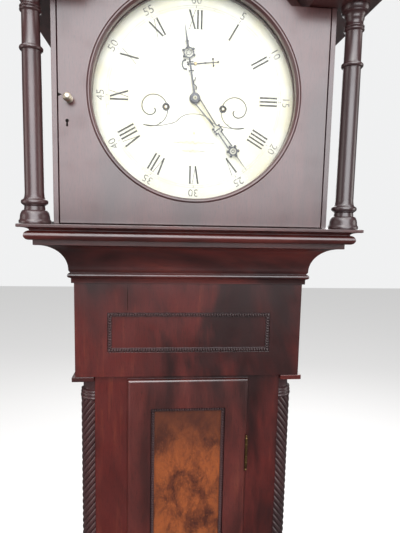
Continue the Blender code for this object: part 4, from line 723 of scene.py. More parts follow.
# %% Knob, keyhole and lock
k_low, k_high = corners("hood_door_knob")
kx, kz = (k_low.x + k_high.x) / 2, (k_low.z + k_high.z) / 2
k = k_high.y
knob = ([(0, k), (0.0056, k), (0.0056, k - 0.0012), (0.0040, k - 0.0022), (0.0026, k - 0.0034),
         (0.0026, k - 0.0085)]
        + [(0.0066 * math.cos(t), k - 0.0142 - 0.0062 * math.sin(t)) for t in
           (math.radians(-58 + 148 * i / 14) for i in range(15))])
knob[-1] = (0, knob[-1][1])
piece(turned(knob, (kx, 0, kz), "Y", 32), "knob_turned", pale_brass, HOOD_DOOR, "hood_door_knob", ease=0)


def keyhole(x, z, front, size=1.0):
    """The painted shadow in a keyhole's slot: a round eye with a flared foot."""
    eye_part = arc(x, z, 0.0027 * size, -62, 242, 16)
    foot = [(x - 0.0016 * size, z - 0.0085 * size), (x + 0.0016 * size, z - 0.0085 * size)]
    return fretted(eye_part + foot, front, front + 0.0008)


# Painted shade: a near-black finish stands for the shadow inside keyholes, a chip and a crack.
def shadow(tree, shader):
    shadow_mottle = noise(tree, place(tree), 300.0)
    feed(tree, shader, Base_Color=blend_colour(tree, shadow_mottle, tint(0.004, 0.003, 0.003),
                                               tint(0.010, 0.006, 0.005)))


black = finish("painted_hole_shadow", {"Roughness": 0.9, "Specular IOR Level": 0.1}, shadow)
piece(keyhole(kx - 0.0036, SEAT_Z + 0.1582, HOOD_FRONT - 0.00015), "hood_keyhole", black, HOOD_DOOR, ease=0)
lock_low, lock_high = corners("hood_door_lock")
piece(board(lock_low, lock_high), "hood_lock_case", brass, HOOD_DOOR, "hood_door_lock")
# A near-black sheet paints the shadow in a small chip at the door's left edge.
nick = [(-door_half - 0.0002, SEAT_Z + 0.1995), (-door_half + 0.0062, SEAT_Z + 0.1967),
        (-door_half - 0.0002, SEAT_Z + 0.1935)]
piece(fretted(nick, HOOD_FRONT - 0.0001, HOOD_FRONT + 0.0006), "door_nick", black, HOOD_DOOR, ease=0)

# %% [markdown]
# ## Throat moulding, frieze block and beading
#
# Under the hood a deep hollow throat narrows to the trunk, above a plain block with a sunk, beaded
# panel. The beading is a string of small turned beads split and glued round the panel. Each bead has
# only a few dozen faces, because there are hundreds.

# %% Throat
z = SEAT_Z
throat = ([(-0.0077, z - 0.1010), (0.0040, z - 0.1010), (0.0040, z - 0.0935), (0.0046, z - 0.0922)]
          + half_round(0.0052, z - 0.0918, 0.0042, 10) + [(0.0052, z - 0.0826), (0.0070, z - 0.0800)])
throat += [(0.0075 + 0.0425 * (1 - math.cos(t)), z - 0.0785 + 0.0445 * math.sin(t)) for t in
           (math.radians(90 * i / 20) for i in range(21))]
throat += [(0.0510, z - 0.0338), (0.0520, z - 0.0334), (0.0520, throat_high.z), (-0.0077, throat_high.z)]
piece(run_round(throat, BLOCK_HALF, BLOCK_FRONT), "throat", across, "case", "frieze_and_throat", ease=0.0003)

# %% Frieze block with a sunk panel
F_HALF, F_LOW, F_HIGH = 0.144, SEAT_Z - 0.2244, SEAT_Z - 0.1533
core = run_round([(-0.0060, throat_low.z), (0, throat_low.z), (0, z - 0.1010), (-0.0060, z - 0.1010)],
                 BLOCK_HALF, BLOCK_FRONT + 0.003)
piece(core, "frieze_core", upright, "case", ease=0)
face_edge = [(-BLOCK_HALF, throat_low.z), (BLOCK_HALF, throat_low.z), (BLOCK_HALF, z - 0.1010),
             (-BLOCK_HALF, z - 0.1010)]
sunk = [(-F_HALF, F_LOW), (F_HALF, F_LOW), (F_HALF, F_HIGH), (-F_HALF, F_HIGH)]
block = fretted(face_edge, BLOCK_FRONT, BLOCK_FRONT + 0.003, sunk)
piece(block, "frieze_block", upright, "case", ease=0.0004)


# %% Bead strings
def bead_string(bm, start, stop, size, step):
    """Small beads from one point to another, each wider across the run than along it."""
    start, stop = Vector(start), Vector(stop)
    span = (stop - start).length
    count = max(1, round(span / step))
    along = (stop - start).normalized()
    flat = span / count * 0.98 / size
    for i in range(count):
        at = start + along * (span * (i + 0.5) / count)
        made = bmesh.ops.create_uvsphere(bm, u_segments=8, v_segments=6, radius=size / 2)["verts"]
        bmesh.ops.scale(bm, vec=(flat, 1.05, 1) if abs(along.x) > 0.5 else (1, 1.05, flat), verts=made)
        bmesh.ops.translate(bm, vec=at, verts=made)


BEAD_STEP = 0.0046


def beaded_frame(half, low, high, ground, width):
    """A rebated rail with a string of beads on its crown, round a rectangle."""
    bm = bmesh.new()
    inset = width / 2
    for z0, z1 in ((low, low + width), (high - width, high)):
        board((-half, ground - 0.0012, z0), (half, ground, z1), bm)
    for x0, x1 in ((-half, -half + width), (half - width, half)):
        board((x0, ground - 0.0012, low + width), (x1, ground, high - width), bm)
    y = ground - 0.0020
    size = width * 0.98
    for zz in (low + inset, high - inset):
        bead_string(bm, (-half + inset * 0.4, y, zz), (half - inset * 0.4, y, zz), size, BEAD_STEP)
    for x in (-half + inset, half - inset):
        bead_string(bm, (x, y, low + width), (x, y, high - width), size, BEAD_STEP)
    return bm


piece(beaded_frame(F_HALF - 0.0003, F_LOW + 0.0003, F_HIGH - 0.0003, BLOCK_FRONT + 0.0028, 0.0068),
      "frieze_beads",
      turned_wood_painted_sheen, "case", "frieze_bead", ease=0)

# %% Split in the frieze
# A near-black sheet paints the shadow in a crack in the frieze.
split = [(-0.1090, z - 0.1020), (-0.1085, z - 0.1450), (-0.1088, z - 0.1528), (-0.1092, z - 0.1480),
         (-0.1096, z - 0.1200)]
piece(fretted(split, BLOCK_FRONT - 0.0001, BLOCK_FRONT + 0.0003), "frieze_split", black, "case", ease=0)

# %% [markdown]
# ## Trunk front and rope-twist quarter columns
#
# The trunk's front board has a door opening, and its corners are cut back for quarter columns carved
# as a rope. A rope twist is a scalloped section that turns as it climbs. Spin does that in one call:
# it turns the section and lifts it by the same step each time. The two columns twist opposite ways.

# %% Trunk front
OPENING_LEFT, OPENING_RIGHT = -0.1060, 0.1050
opening = [(OPENING_LEFT, tdoor_low.z + 0.005), (OPENING_RIGHT, tdoor_low.z + 0.005),
           (OPENING_RIGHT, tdoor_high.z - 0.005), (OPENING_LEFT, tdoor_high.z - 0.005)]
wide = front_high.x
edge = [(-wide, front_low.z), (wide, front_low.z), (wide, front_high.z), (-wide, front_high.z)]
piece(fretted(edge, front_low.y, front_high.y, opening), "trunk_board", upright, "case", "trunk_front",
      ease=0.0006)
for word in ("left", "right"):
    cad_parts["trunk_side_" + word].data.materials.clear()
    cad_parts["trunk_side_" + word].data.materials.append(upright)

# %% Rope-twist quarter columns
column_low, column_high = corners("quarter_column_right")
COLUMN_R = column_high.y - TRUNK_FRONT
COLUMN_X = column_low.x
ABACUS_H = 0.0085
print("quarter column radius", round(COLUMN_R, 4), "centre", round(COLUMN_X, 4))
STRANDS = 16
LEAD = 0.205


def rope(at, low, high, side):
    """A scalloped section turned and lifted step by step, then cut to a quarter."""
    bm = bmesh.new()
    dots = []
    around = STRANDS * 7
    for i in range(around):
        turn = math.tau * i / around
        swell = abs(math.sin(STRANDS * turn / 2)) ** 0.6
        radius = COLUMN_R - 0.0034 + 0.0034 * swell
        dots.append(bm.verts.new((radius * math.cos(turn), radius * math.sin(turn), low)))
    edges = [bm.edges.new(pair) for pair in zip(dots, dots[1:] + dots[:1])]
    steps = round((high - low) / 0.0048)
    rise = (high - low) / steps
    bmesh.ops.spin(bm, geom=dots + edges, cent=(0, 0, 0), axis=(0, 0, 1), dvec=(0, 0, rise),
                   angle=-side * math.tau * (high - low) / LEAD, steps=steps)
    for normal in ((side, 0, 0), (0, -1, 0)):
        everything = bm.verts[:] + bm.edges[:] + bm.faces[:]
        bmesh.ops.bisect_plane(bm, geom=everything, plane_co=(0, 0, 0), plane_no=normal, clear_inner=True)
    bmesh.ops.translate(bm, vec=at, verts=bm.verts)
    return bm


def quarter_turned(profile, at, side):
    """A turned length cut to the outer quarter."""
    bm = turned(profile, (0, 0, 0), steps=48)
    for normal in ((side, 0, 0), (0, -1, 0)):
        everything = bm.verts[:] + bm.edges[:] + bm.faces[:]
        cut = bmesh.ops.bisect_plane(bm, geom=everything, plane_co=(0, 0, 0), plane_no=normal,
                                     clear_inner=True)
        rim = [e for e in cut["geom_cut"] if isinstance(e, bmesh.types.BMEdge)]
        bmesh.ops.holes_fill(bm, edges=rim, sides=0)
    bmesh.ops.translate(bm, vec=at, verts=bm.verts)
    return bm


for word, side in (("left", -1), ("right", 1)):
    low, high = corners("quarter_column_" + word)
    at = Vector((side * COLUMN_X, TRUNK_FRONT + COLUMN_R, 0))
    foot, neck = low.z + 0.046, high.z - 0.0460
    piece(rope(at, foot, neck, side), "rope_" + word, turned_wood_painted_sheen, "case", ease=0, smooth=60)
    r = COLUMN_R
    base = [(0, low.z), (r + 0.0020, low.z), (r + 0.0020, low.z + 0.026)] + hollow(
        (r + 0.0020, low.z + 0.027), (r - 0.0010, low.z + 0.036), 5)
    base += ring_at(r - 0.001, low.z + 0.0365, 0.006, 0.0015) + [(r - 0.001, foot + 0.001),
                                                                 (0, foot + 0.001)]
    piece(quarter_turned(base, at, side), "quarter_base_" + word, upright, "case", ease=0, smooth=45)
    top = high.z - ABACUS_H
    cap = [(0, neck - 0.001), (r - 0.0018, neck - 0.001)] + ring_at(r - 0.0016, neck, 0.0055, 0.0024)
    cap += ring_at(r - 0.0018, neck + 0.0068, 0.0045, 0.0020) + ring_at(r - 0.0020, neck + 0.0128, 0.0038,
                                                                        0.0016)
    cap += [(r - 0.0046, neck + 0.0180), (r - 0.0048, top - 0.0100)]
    cap += hollow((r - 0.0046, top - 0.0095), (r + 0.0004, top - 0.0012), 5) + [(r + 0.0004, top), (0, top)]
    piece(quarter_turned(cap, at, side), "quarter_cap_" + word, turned_wood_painted_sheen, "case", ease=0, smooth=45)
    bm = board((low.x, low.y, top), (high.x, high.y, high.z))
    piece(bm, "abacus_" + word, across, "case", "quarter_column_" + word, ease=0.0008)

# %% [markdown]
# ## Trunk door
#
# The door is framed with a lip that laps over the opening. Its edge is a thumbnail moulding, the part
# that catches the light in a bright line along the top. Inside, beading holds a flame veneer panel.

# %% Door frame
d = tdoor_low.y
lip_back = TRUNK_FRONT - 0.0003
outer = [(tdoor_low.x, tdoor_low.z), (tdoor_high.x, tdoor_low.z), (tdoor_high.x, tdoor_high.z),
         (tdoor_low.x, tdoor_high.z)]
h_low, h_high = corners("trunk_door_hinge_upper")
l_low, l_high = corners("trunk_door_hinge_lower")
cut_x = 0.1058
outer = [outer[0], outer[1]] + [(tdoor_high.x, l_low.z - 0.0006), (cut_x, l_low.z - 0.0006),
                                (cut_x, l_high.z + 0.0006), (tdoor_high.x, l_high.z + 0.0006),
                                (tdoor_high.x, h_low.z - 0.0006), (cut_x, h_low.z - 0.0006),
                                (cut_x, h_high.z + 0.0006), (tdoor_high.x, h_high.z + 0.0006)] + outer[2:]
gap_half, gap_low, gap_high = panel_high.x + 0.0003, panel_low.z - 0.0003, panel_high.z + 0.0003
window = [(-gap_half, gap_low), (gap_half, gap_low), (gap_half, gap_high), (-gap_half, gap_high)]
lip_bm = fretted(outer, d, lip_back, window)
rim = [e for e in lip_bm.edges if all(abs(v.co.y - d) < 1e-5 for v in e.verts) and len(e.link_faces) == 2
       and e.calc_face_angle(0) > 1.0 and all(
           abs(abs(v.co.x) - tdoor_high.x) < 1e-4 or abs(v.co.z - tdoor_low.z) < 1e-4
           or abs(v.co.z - tdoor_high.z) < 1e-4 for v in e.verts)]
bmesh.ops.bevel(lip_bm, geom=rim, offset=0.0060, offset_type="OFFSET", affect="EDGES", segments=6,
                profile=0.5,
                material=-1)
piece(lip_bm, "trunk_door_lip", door_wood, "trunk_door", "trunk_door_frame", ease=0.0004)
slab = [(-0.1015, tdoor_low.z + 0.0085), (0.1015, tdoor_low.z + 0.0085), (0.1015, tdoor_high.z - 0.0085),
        (-0.1015, tdoor_high.z - 0.0085)]
piece(fretted(slab, lip_back, tdoor_high.y, window), "trunk_door_slab", door_wood, "trunk_door")

# %% Panel, beads, lock and hinges
bm = board((panel_low.x, panel_low.y, panel_low.z), (panel_high.x, panel_high.y, panel_high.z))
piece(bm, "flame_panel", veneer, "trunk_door", "trunk_door_panel")
piece(beaded_frame(panel_high.x, panel_low.z, panel_high.z, panel_low.y - 0.0001, 0.0066), "door_beads",
      turned_wood_painted_sheen,
      "trunk_door", "trunk_door_bead", ease=0)
kh = (tdoor_low.z + tdoor_high.z) / 2
piece(keyhole(-0.0885, kh, d - 0.00015, 1.2), "trunk_keyhole", black, "trunk_door", ease=0)


def butt_hinge(node):
    """A brass knuckle in five joints with ball tips, and its leaf on the door's edge."""
    low, high = corners(node)
    x, y = high.x - 0.0032, low.y + 0.0032
    length = high.z - low.z
    line = [(0, low.z), (0.0012, low.z + 0.0002), (0.0021, low.z + 0.0014), (0.0021, low.z + 0.0028),
            (0.0011, low.z + 0.0042), (0.0022, low.z + 0.0056)]
    joints = 5
    body_low, body_len = low.z + 0.0056, length - 0.0112
    for i in range(joints):
        start = body_low + body_len * i / joints
        stop = body_low + body_len * (i + 1) / joints
        line += [(0.0024, start + 0.0005), (0.0024, stop - 0.0005), (0.0019, stop)]
    line += [(0.0011, high.z - 0.0042), (0.0021, high.z - 0.0028), (0.0021, high.z - 0.0014),
             (0.0012, high.z - 0.0002), (0, high.z)]
    bm = turned(line, (x, y, 0), steps=24)
    board((0.1018, lip_back, low.z + 0.007), (0.1030, tdoor_high.y, high.z - 0.007), bm)
    board((x - 0.0008, y, low.z + 0.007), (x + 0.0008, lip_back + 0.0012, high.z - 0.007), bm)
    return bm


for word in ("upper", "lower"):
    node = "trunk_door_hinge_" + word
    piece(butt_hinge(node), "butt_hinge_" + word, dull_brass, "trunk_door", node, ease=0)
low, high = corners("trunk_door_lock")
piece(board(low, high), "trunk_lock_case", brass, "trunk_door", "trunk_door_lock")

# %% [markdown]
# ## Waist, plinth and feet
#
# Below the door the case widens through a waist moulding to the plinth, which has a raised panel and
# stands on a skirting cut away into bracket feet.

# %% Waist moulding
w = waist_low.z
step = PLINTH_HALF - TRUNK_HALF
waist = ([(0.0003, w), (step + 0.0060, w)] + half_round(step + 0.0030, w + 0.0006, 0.0052, 10)
         + [(step - 0.0020, w + 0.0125)])
waist += [(step - 0.0030 - (step - 0.0070) * math.sin(t), w + 0.0140 + 0.0240 * (1 - math.cos(t))) for t in
          (math.radians(90 * i / 14) for i in range(15))]
waist += [(0.0034, waist_high.z - 0.0018), (0.0003, waist_high.z)]
piece(run_round(waist, TRUNK_HALF, TRUNK_FRONT), "waist", across, "case", "waist_moulding", ease=0.0003)

# %% Plinth with its raised panel
box_section = [(-0.016, plinth_low.z), (0, plinth_low.z), (0, plinth_high.z), (-0.016, plinth_high.z)]
piece(run_round(box_section, PLINTH_HALF, PLINTH_FRONT, back_low.y - 0.0003), "plinth", upright, "case",
      "plinth_box", ease=0.0008)
p_half, p_low, p_high = PLINTH_HALF - 0.050, plinth_low.z + 0.120, plinth_high.z - 0.045
raised = board((-p_half, PLINTH_FRONT - 0.0040, p_low), (p_half, PLINTH_FRONT + 0.001, p_high))
rim = [e for e in raised.edges if all(v.co.y < PLINTH_FRONT - 0.003 for v in e.verts)]
bmesh.ops.bevel(raised, geom=rim, offset=0.0035, offset_type="OFFSET", affect="EDGES", segments=4,
                profile=0.5,
                material=-1)
piece(raised, "plinth_panel", veneer, "case")

# %% Skirting and bracket feet
reach = skirt_high.x
foot_w, arch_h = 0.075, 0.040
top = skirt_high.z
thick = 0.012
profile_top = [(thick, top - 0.0180)] + [(thick - 0.0075 * math.sin(t),
                                          top - 0.0180 + 0.0120 * (1 - math.cos(t)))
                                         for t in (math.radians(90 * i / 8) for i in range(9))]
skirting = run_round([(0, arch_h), (thick, arch_h)] + profile_top + [(0.0040, top), (0, top)],
                     PLINTH_HALF + 0.0003, PLINTH_FRONT - 0.0003)
piece(skirting, "skirting", across, "case", "plinth_skirting", ease=0.0004)


def foot_outline(outer, way):
    """Half a bracket foot: straight outside, an ogee inside."""
    shape = [(outer, 0.0), (outer, arch_h), (outer + way * (foot_w + 0.028), arch_h)]
    shape += [(outer + way * (foot_w + 0.028 - 0.030 * t - 0.006 * math.sin(math.tau * t)), arch_h * (1 - t))
              for t in (i / 12 for i in range(1, 12))]
    return shape + [(outer + way * foot_w, 0.0)]


skirt_front = PLINTH_FRONT - 0.0003 - thick
for side, word in ((-1, "left"), (1, "right")):
    piece(fretted(foot_outline(side * reach, -side), skirt_front, skirt_front + thick), "foot_front_" + word,
          across,
          "case")
    for start, way, tag in ((skirt_front + 0.0001, 1, "near"), (WALL_Y, -1, "far")):
        bm = fretted(foot_outline(start, way), -thick / 2, thick / 2)
        spun = Matrix(((0, 1, 0, side * (reach - thick / 2)), (1, 0, 0, 0), (0, 0, 1, 0), (0, 0, 0, 1)))
        bmesh.ops.transform(bm, matrix=spun, verts=bm.verts)
        piece(bm, f"foot_side_{word}_{tag}", across, "case")

# %% [markdown]
# ## The dial
#
# The dial is a silvered disc engraved and filled with black wax. The engraving is made as thin ink
# standing a tenth of a millimetre proud, built from strokes: a Roman numeral is nothing but thick and
# thin strokes with fine feet, set radially with its foot towards the centre.

# %% Disc
y = dial_low.y
WINDING_X, WINDING_Z = 0.0465, CENTRE.z - 0.0146
SECONDS_UP = 0.0542
holes = [arc(sx * WINDING_X, WINDING_Z, 0.0048, 0, 360, 32)[:-1] for sx in (-1, 1)]
holes.append(arc(0, CENTRE.z, 0.0062, 0, 360, 32)[:-1])
rim = arc(0, CENTRE.z, DIAL_R, 0, 360, 160)[:-1]
piece(fretted(rim, y, y + 0.002, *holes), "dial_disc", silver, "case", "dial", ease=0.0002)

# %% Strokes on the dial
INK_Y = y - 0.00012
INK_T = 0.00012


def bar(bm, start, stop, wide, wide_end=None, thick=0.0008, centre=(0, 0, 0)):
    """A straight bar between two (x, z) points from a centre, tapered if asked."""
    wide_end = wide if wide_end is None else wide_end
    a, b = Vector((start[0], 0, start[1])), Vector((stop[0], 0, stop[1]))
    along = b - a
    made = bmesh.ops.create_cube(bm, size=1)["verts"]
    for v in made:
        share = wide if v.co.x < 0 else wide_end
        v.co = Vector((v.co.x * along.length, v.co.y * thick, v.co.z * share))
    turn = Matrix.Rotation(-math.atan2(along.z, along.x), 4, "Y")
    middle = (a + b) / 2 + Vector(centre)
    bmesh.ops.transform(bm, matrix=Matrix.Translation(middle) @ turn, verts=made)


def stroke(bm, start, stop, wide, wide_end=None):
    """An engraved stroke between two (x, z) points from the dial's centre."""
    bar(bm, start, stop, wide, wide_end, INK_T, (0, INK_Y, CENTRE.z))


def flowing(bm, points, wide, wide_end=None):
    """Strokes along a list of points, tapering to the end."""
    wide_end = wide if wide_end is None else wide_end
    count = len(points) - 1
    for i in range(count):
        a = wide + (wide_end - wide) * i / count
        b = wide + (wide_end - wide) * (i + 1) / count
        stroke(bm, points[i], points[i + 1], a, b)


def polar(turn, radius, aside=0.0):
    """A point at a clock angle in degrees, moved sideways (clockwise) along the tangent."""
    t = math.radians(turn)
    return (radius * math.sin(t) + aside * math.cos(t), radius * math.cos(t) - aside * math.sin(t))


# %% Roman numerals
ROMAN = ["XII", "I", "II", "III", "IIII", "V", "VI", "VII", "VIII", "IX", "X", "XI"]
WIDTHS = {"I": 0.0060, "V": 0.0115, "X": 0.0115}
FOOT, HEAD = 0.1075, 0.1362
THICK, THIN = 0.0029, 0.0009


def letter(bm, shape, turn, at):
    """One Roman letter whose middle lies at a sideways offset."""
    half = WIDTHS[shape] / 2 - 0.0012
    if shape == "I":
        stroke(bm, polar(turn, FOOT, at), polar(turn, HEAD, at), THICK)
        for r in (FOOT, HEAD):
            stroke(bm, polar(turn, r, at - 0.0022), polar(turn, r, at + 0.0022), 0.0005)
    if shape == "V":
        stroke(bm, polar(turn, HEAD, at - half), polar(turn, FOOT, at), THICK)
        stroke(bm, polar(turn, HEAD, at + half), polar(turn, FOOT, at), THIN)
    if shape == "X":
        stroke(bm, polar(turn, HEAD, at - half), polar(turn, FOOT, at + half), THICK)
        stroke(bm, polar(turn, HEAD, at + half), polar(turn, FOOT, at - half), THIN)
    if shape in "VX":
        for aside in (-half, half):
            stroke(bm, polar(turn, HEAD, at + aside - 0.0018), polar(turn, HEAD, at + aside + 0.0018),
                   0.0005)
    if shape == "X":
        for aside in (-half, half):
            stroke(bm, polar(turn, FOOT, at + aside - 0.0018), polar(turn, FOOT, at + aside + 0.0018),
                   0.0005)


bm = bmesh.new()
for hour, word in enumerate(ROMAN):
    span = sum(WIDTHS[c] for c in word)
    at = -span / 2
    for c in word:
        letter(bm, c, hour * 30, at + WIDTHS[c] / 2)
        at += WIDTHS[c]
piece(bm, "hour_numerals", wax, "case", ease=0)

# %% Minute ring and figures
bm = bmesh.new()
for radius in (0.1392, 0.1428):
    flowing(bm, [polar(a * 3, radius) for a in range(121)], 0.00035)
for minute in range(60):
    wide = 0.0009 if minute % 5 == 0 else 0.0004
    stroke(bm, polar(minute * 6, 0.1392), polar(minute * 6, 0.1428), wide)
for ring_r in (0.0215, 0.0185):
    flowing(bm, [(x, z + SECONDS_UP) for x, z in (polar(a * 6, ring_r) for a in range(61))], 0.0002)
for second in range(0, 60, 5):
    a, b = polar(second * 6, 0.0185), polar(second * 6, 0.0215)
    stroke(bm, (a[0], a[1] + SECONDS_UP), (b[0], b[1] + SECONDS_UP), 0.0004)
piece(bm, "minute_ring", pale_wax, "case", ease=0)


def figures(text, turn, radius, size):
    """Arabic figures from the built-in face, laid flat on the dial with their feet inwards."""
    curve = bpy.data.curves.new("figures", "FONT")
    curve.body = text
    curve.size = size
    curve.align_x = "CENTER"
    curve.align_y = "CENTER"
    curve.resolution_u = 3
    curve.offset = 0.00002
    holder = bpy.data.objects.new("figures", curve)
    scene.collection.objects.link(holder)
    mesh = holder.to_mesh()
    bm = bmesh.new()
    bm.from_mesh(mesh)
    holder.to_mesh_clear()
    bpy.data.objects.remove(holder)
    upright_turn = Matrix.Rotation(math.pi / 2, 4, "X")
    spun = Matrix.Rotation(math.radians(turn), 4, "Y")
    x, z = polar(turn, radius)
    place_at = Matrix.Translation((x, INK_Y, CENTRE.z + z)) @ spun @ upright_turn
    bmesh.ops.transform(bm, matrix=place_at, verts=bm.verts)
    pushed(bm, bm.faces[:], (0, INK_T, 0))
    return bm


gathered = bmesh.new()
for minute in range(5, 65, 5):
    bm = figures(str(minute), minute * 6, 0.1508, 0.0175)
    mesh = bpy.data.meshes.new("part")
    bm.to_mesh(mesh)
    bm.free()
    gathered.from_mesh(mesh)
    bpy.data.meshes.remove(mesh)
piece(gathered, "minute_figures", pale_wax, "case", ease=0)

# %% Scrolls and flourish
def spiral(side, start=(0.030, -0.0375)):
    """An engraved C-scroll: out along the bottom, up round the outside and in to its eye."""
    points = []
    for i in range(41):
        t = i / 40
        turn = math.radians(-62 - 470 * t)
        radius = 0.0275 * (1 - t) ** 0.75 + 0.0035
        points.append((0.0690 + radius * math.cos(turn) * 0.98, -0.0165 + radius * math.sin(turn) * 0.98))
    lead = [(start[0] + (points[0][0] - start[0]) * k / 6,
             start[1] + (points[0][1] - start[1]) * k / 6 - 0.0040 * math.sin(math.pi * k / 6))
            for k in range(6)]
    return [(side * x, z) for x, z in lead + points]


bm = bmesh.new()
for side in (-1, 1):
    flowing(bm, spiral(side), 0.0010, 0.0021)
    flowing(bm, [(side * x, z) for x, z in ((0.030, -0.0375), (0.024, -0.0310), (0.016, -0.0262),
                                            (0.008, -0.0243), (0.0, -0.0238))], 0.0014, 0.0009)
    for dot in ((0.036, -0.040), (0.041, -0.0465), (0.056, -0.0390)):
        stroke(bm, (side * dot[0] - 0.0009, dot[1]), (side * dot[0] + 0.0009, dot[1]), 0.0018)
piece(bm, "dial_scrolls", wax, "case", ease=0)
bm = bmesh.new()
for z0, span, waves in ((-0.0700, 0.034, 7), (-0.0835, 0.019, 5)):
    flowing(bm, [(span * (2 * i / 60 - 1), z0 + 0.0022 * math.sin(waves * math.tau * i / 60) *
                  math.cos(math.pi * (i / 60 - 0.5))) for i in range(61)], 0.0009)
piece(bm, "dial_flourish", pale_wax, "case", ease=0)
tint_arc = [(x, CENTRE.z - 0.0460 + zz) for x, zz in arc(0, 0, 0.0195, 18, 162, 20)]
tint_arc += [(x, CENTRE.z - 0.0460 + zz) for x, zz in arc(0, 0, 0.0155, 162, 18, 20)]


def blush(tree, shader):
    cloud = noise(tree, place(tree), 90.0, 3.0)
    feed(tree, shader, Base_Color=blend_colour(tree, cloud, tint(0.80, 0.70, 0.62), tint(0.82, 0.78, 0.72)))


pink = finish("dial_blush", {"Roughness": 0.55}, blush)
piece(fretted(tint_arc, INK_Y, y - 0.00003), "dial_arch_tint", pink, "case", ease=0)

# %% Ends of the winding squares
bm = bmesh.new()
for sx in (-1, 1):
    board((sx * WINDING_X - 0.0019, y - 0.0022, WINDING_Z - 0.0019),
          (sx * WINDING_X + 0.0019, y - 0.0004, WINDING_Z + 0.0019), bm)
piece(bm, "winding_square_ends", silver, "case", ease=0.0004)

# %% Winding arbors, calendar pin and hole rims
bm = bmesh.new()
for sx in (-1, 1):
    at = (sx * WINDING_X, y, WINDING_Z)
    turned([(0.0062, 0.0), (0.0062, -0.0005), (0.0058, -0.0008), (0.0047, -0.0008), (0.0044, 0.0),
            (0.0044, 0.0014),
            (0.0062, 0.0014), (0.0062, 0.0)], at, "Y", 40, bm)
piece(bm, "winding_collets", blued, "case", ease=0)
bm = turned([(0, -0.0012), (0.0009, -0.0012), (0.0013, -0.0006), (0.0013, 0.0006), (0, 0.0006)],
            (0, y, CENTRE.z - 0.0545), "Y", 20)
piece(bm, "calendar_pin", bell_metal, "case", ease=0)

# %% [markdown]
# ## Hands
#
# The hands are sawn from steel plate and blued. They are pierced: rails, rings and knobs rather than
# solid blades. Each hand is drawn upright from bars and rings, then turned clockwise to its time.

# %% Hand parts
def hoop(bm, x, z, radius, wide, thick=0.0009):
    """A flat ring round an (x, z) point."""
    h, t = wide / 2, thick / 2
    square = [(radius - h, -t), (radius + h, -t), (radius + h, t), (radius - h, t), (radius - h, -t)]
    turned(square, (x, 0, z), "Y", 28, bm)


def knob_on(bm, x, z, size):
    """A small flattened ball on a hand."""
    made = bmesh.ops.create_uvsphere(bm, u_segments=10, v_segments=6, radius=size)["verts"]
    bmesh.ops.scale(bm, vec=(1, 0.5, 1), verts=made)
    bmesh.ops.translate(bm, vec=(x, 0, z), verts=made)


def curl(bm, points, wide):
    """A bent bar through a list of points."""
    for a, b in zip(points, points[1:]):
        bar(bm, a, b, wide)


def set_hand(bm, turn, at, name, body, *nodes):
    """Turn a hand clockwise from upright and put it on its arbor."""
    spun = Matrix.Translation(at) @ Matrix.Rotation(math.radians(turn), 4, "Y")
    bmesh.ops.transform(bm, matrix=spun, verts=bm.verts)
    return piece(bm, name, blued, body, *nodes, ease=0, smooth=40)


def mid_y(node):
    low, high = corners(node)
    return (low.y + high.y) / 2


# %% Hour hand
bm = bmesh.new()
hoop(bm, 0, 0, 0.0066, 0.0046)
bar(bm, (0, 0.0085), (0, 0.0620), 0.0032, 0.0024)
snake = [(0.0030 + 0.0022 * math.sin(math.tau * t * 1.3), 0.0130 + 0.0190 * t)
         for t in (i / 16 for i in range(17))]
curl(bm, snake, 0.0016)
bar(bm, (-0.0036, 0.0430), (0.0036, 0.0430), 0.0012)
bar(bm, (-0.0046, 0.0565), (0.0046, 0.0565), 0.0014)
for x, zz in ((-0.0046, 0.0565), (0.0046, 0.0565), (-0.0036, 0.0430), (0.0036, 0.0430), (0, 0.0600)):
    knob_on(bm, x, zz, 0.0012)
hoop(bm, 0, 0.0710, 0.0078, 0.0020)
hoop(bm, 0, 0.0710, 0.0038, 0.0009)
for turn in (60, 120, 240, 300, 0):
    t = math.radians(turn)
    knob_on(bm, 0.0096 * math.sin(t), 0.0710 + 0.0096 * math.cos(t), 0.0020)
bar(bm, (0, 0.0800), (0, 0.0860), 0.0014, 0.0040)
bar(bm, (0, 0.0860), (0, 0.0925), 0.0040, 0.0026)
bar(bm, (-0.0030, 0.0885), (0.0030, 0.0885), 0.0012)
bar(bm, (0, 0.0925), (0, 0.1150), 0.0026, 0.0004)
set_hand(bm, -8.9, (0, mid_y("hour_hand"), CENTRE.z), "hour_hand_pierced", "hour_pipe", "hour_hand")

# %% Minute hand
bm = bmesh.new()
hoop(bm, 0, 0, 0.0052, 0.0044)
for side in (-1, 1):
    bar(bm, (side * 0.0052, 0.0060), (side * 0.0020, 0.0560), 0.0019)
    bar(bm, (side * 0.0028, 0.0660), (side * 0.0036, 0.0970), 0.0019)
    curl(bm, [(side * (0.0034 + 0.0028 * math.sin(math.pi * t)), 0.0560 + 0.0120 * t) for t in
              (i / 8 for i in range(9))], 0.0014)
    for zz in (0.0570, 0.0665):
        knob_on(bm, side * 0.0062, zz, 0.0018)
bar(bm, (-0.0080, 0.0618), (0.0080, 0.0618), 0.0016)
hoop(bm, 0, 0.1045, 0.0064, 0.0024)
hoop(bm, 0, 0.1045, 0.0022, 0.0009)
for turn in range(0, 360, 60):
    t = math.radians(turn)
    knob_on(bm, 0.0086 * math.sin(t), 0.1045 + 0.0086 * math.cos(t), 0.0024)
bar(bm, (0, 0.1115), (0, 0.1180), 0.0030, 0.0022)
bar(bm, (0, 0.1180), (0, 0.1430), 0.0018, 0.0004)
set_hand(bm, 142, (0, mid_y("minute_hand"), CENTRE.z), "minute_hand_pierced", "centre_arbor", "minute_hand")
bm = turned([(0, -0.0016), (0.0016, -0.0016), (0.0030, -0.0006), (0.0034, 0.0004), (0, 0.0006)],
            (0, mid_y("minute_hand") - 0.0008, CENTRE.z), "Y", 28)
piece(bm, "hand_collet", silver, "centre_arbor", ease=0)

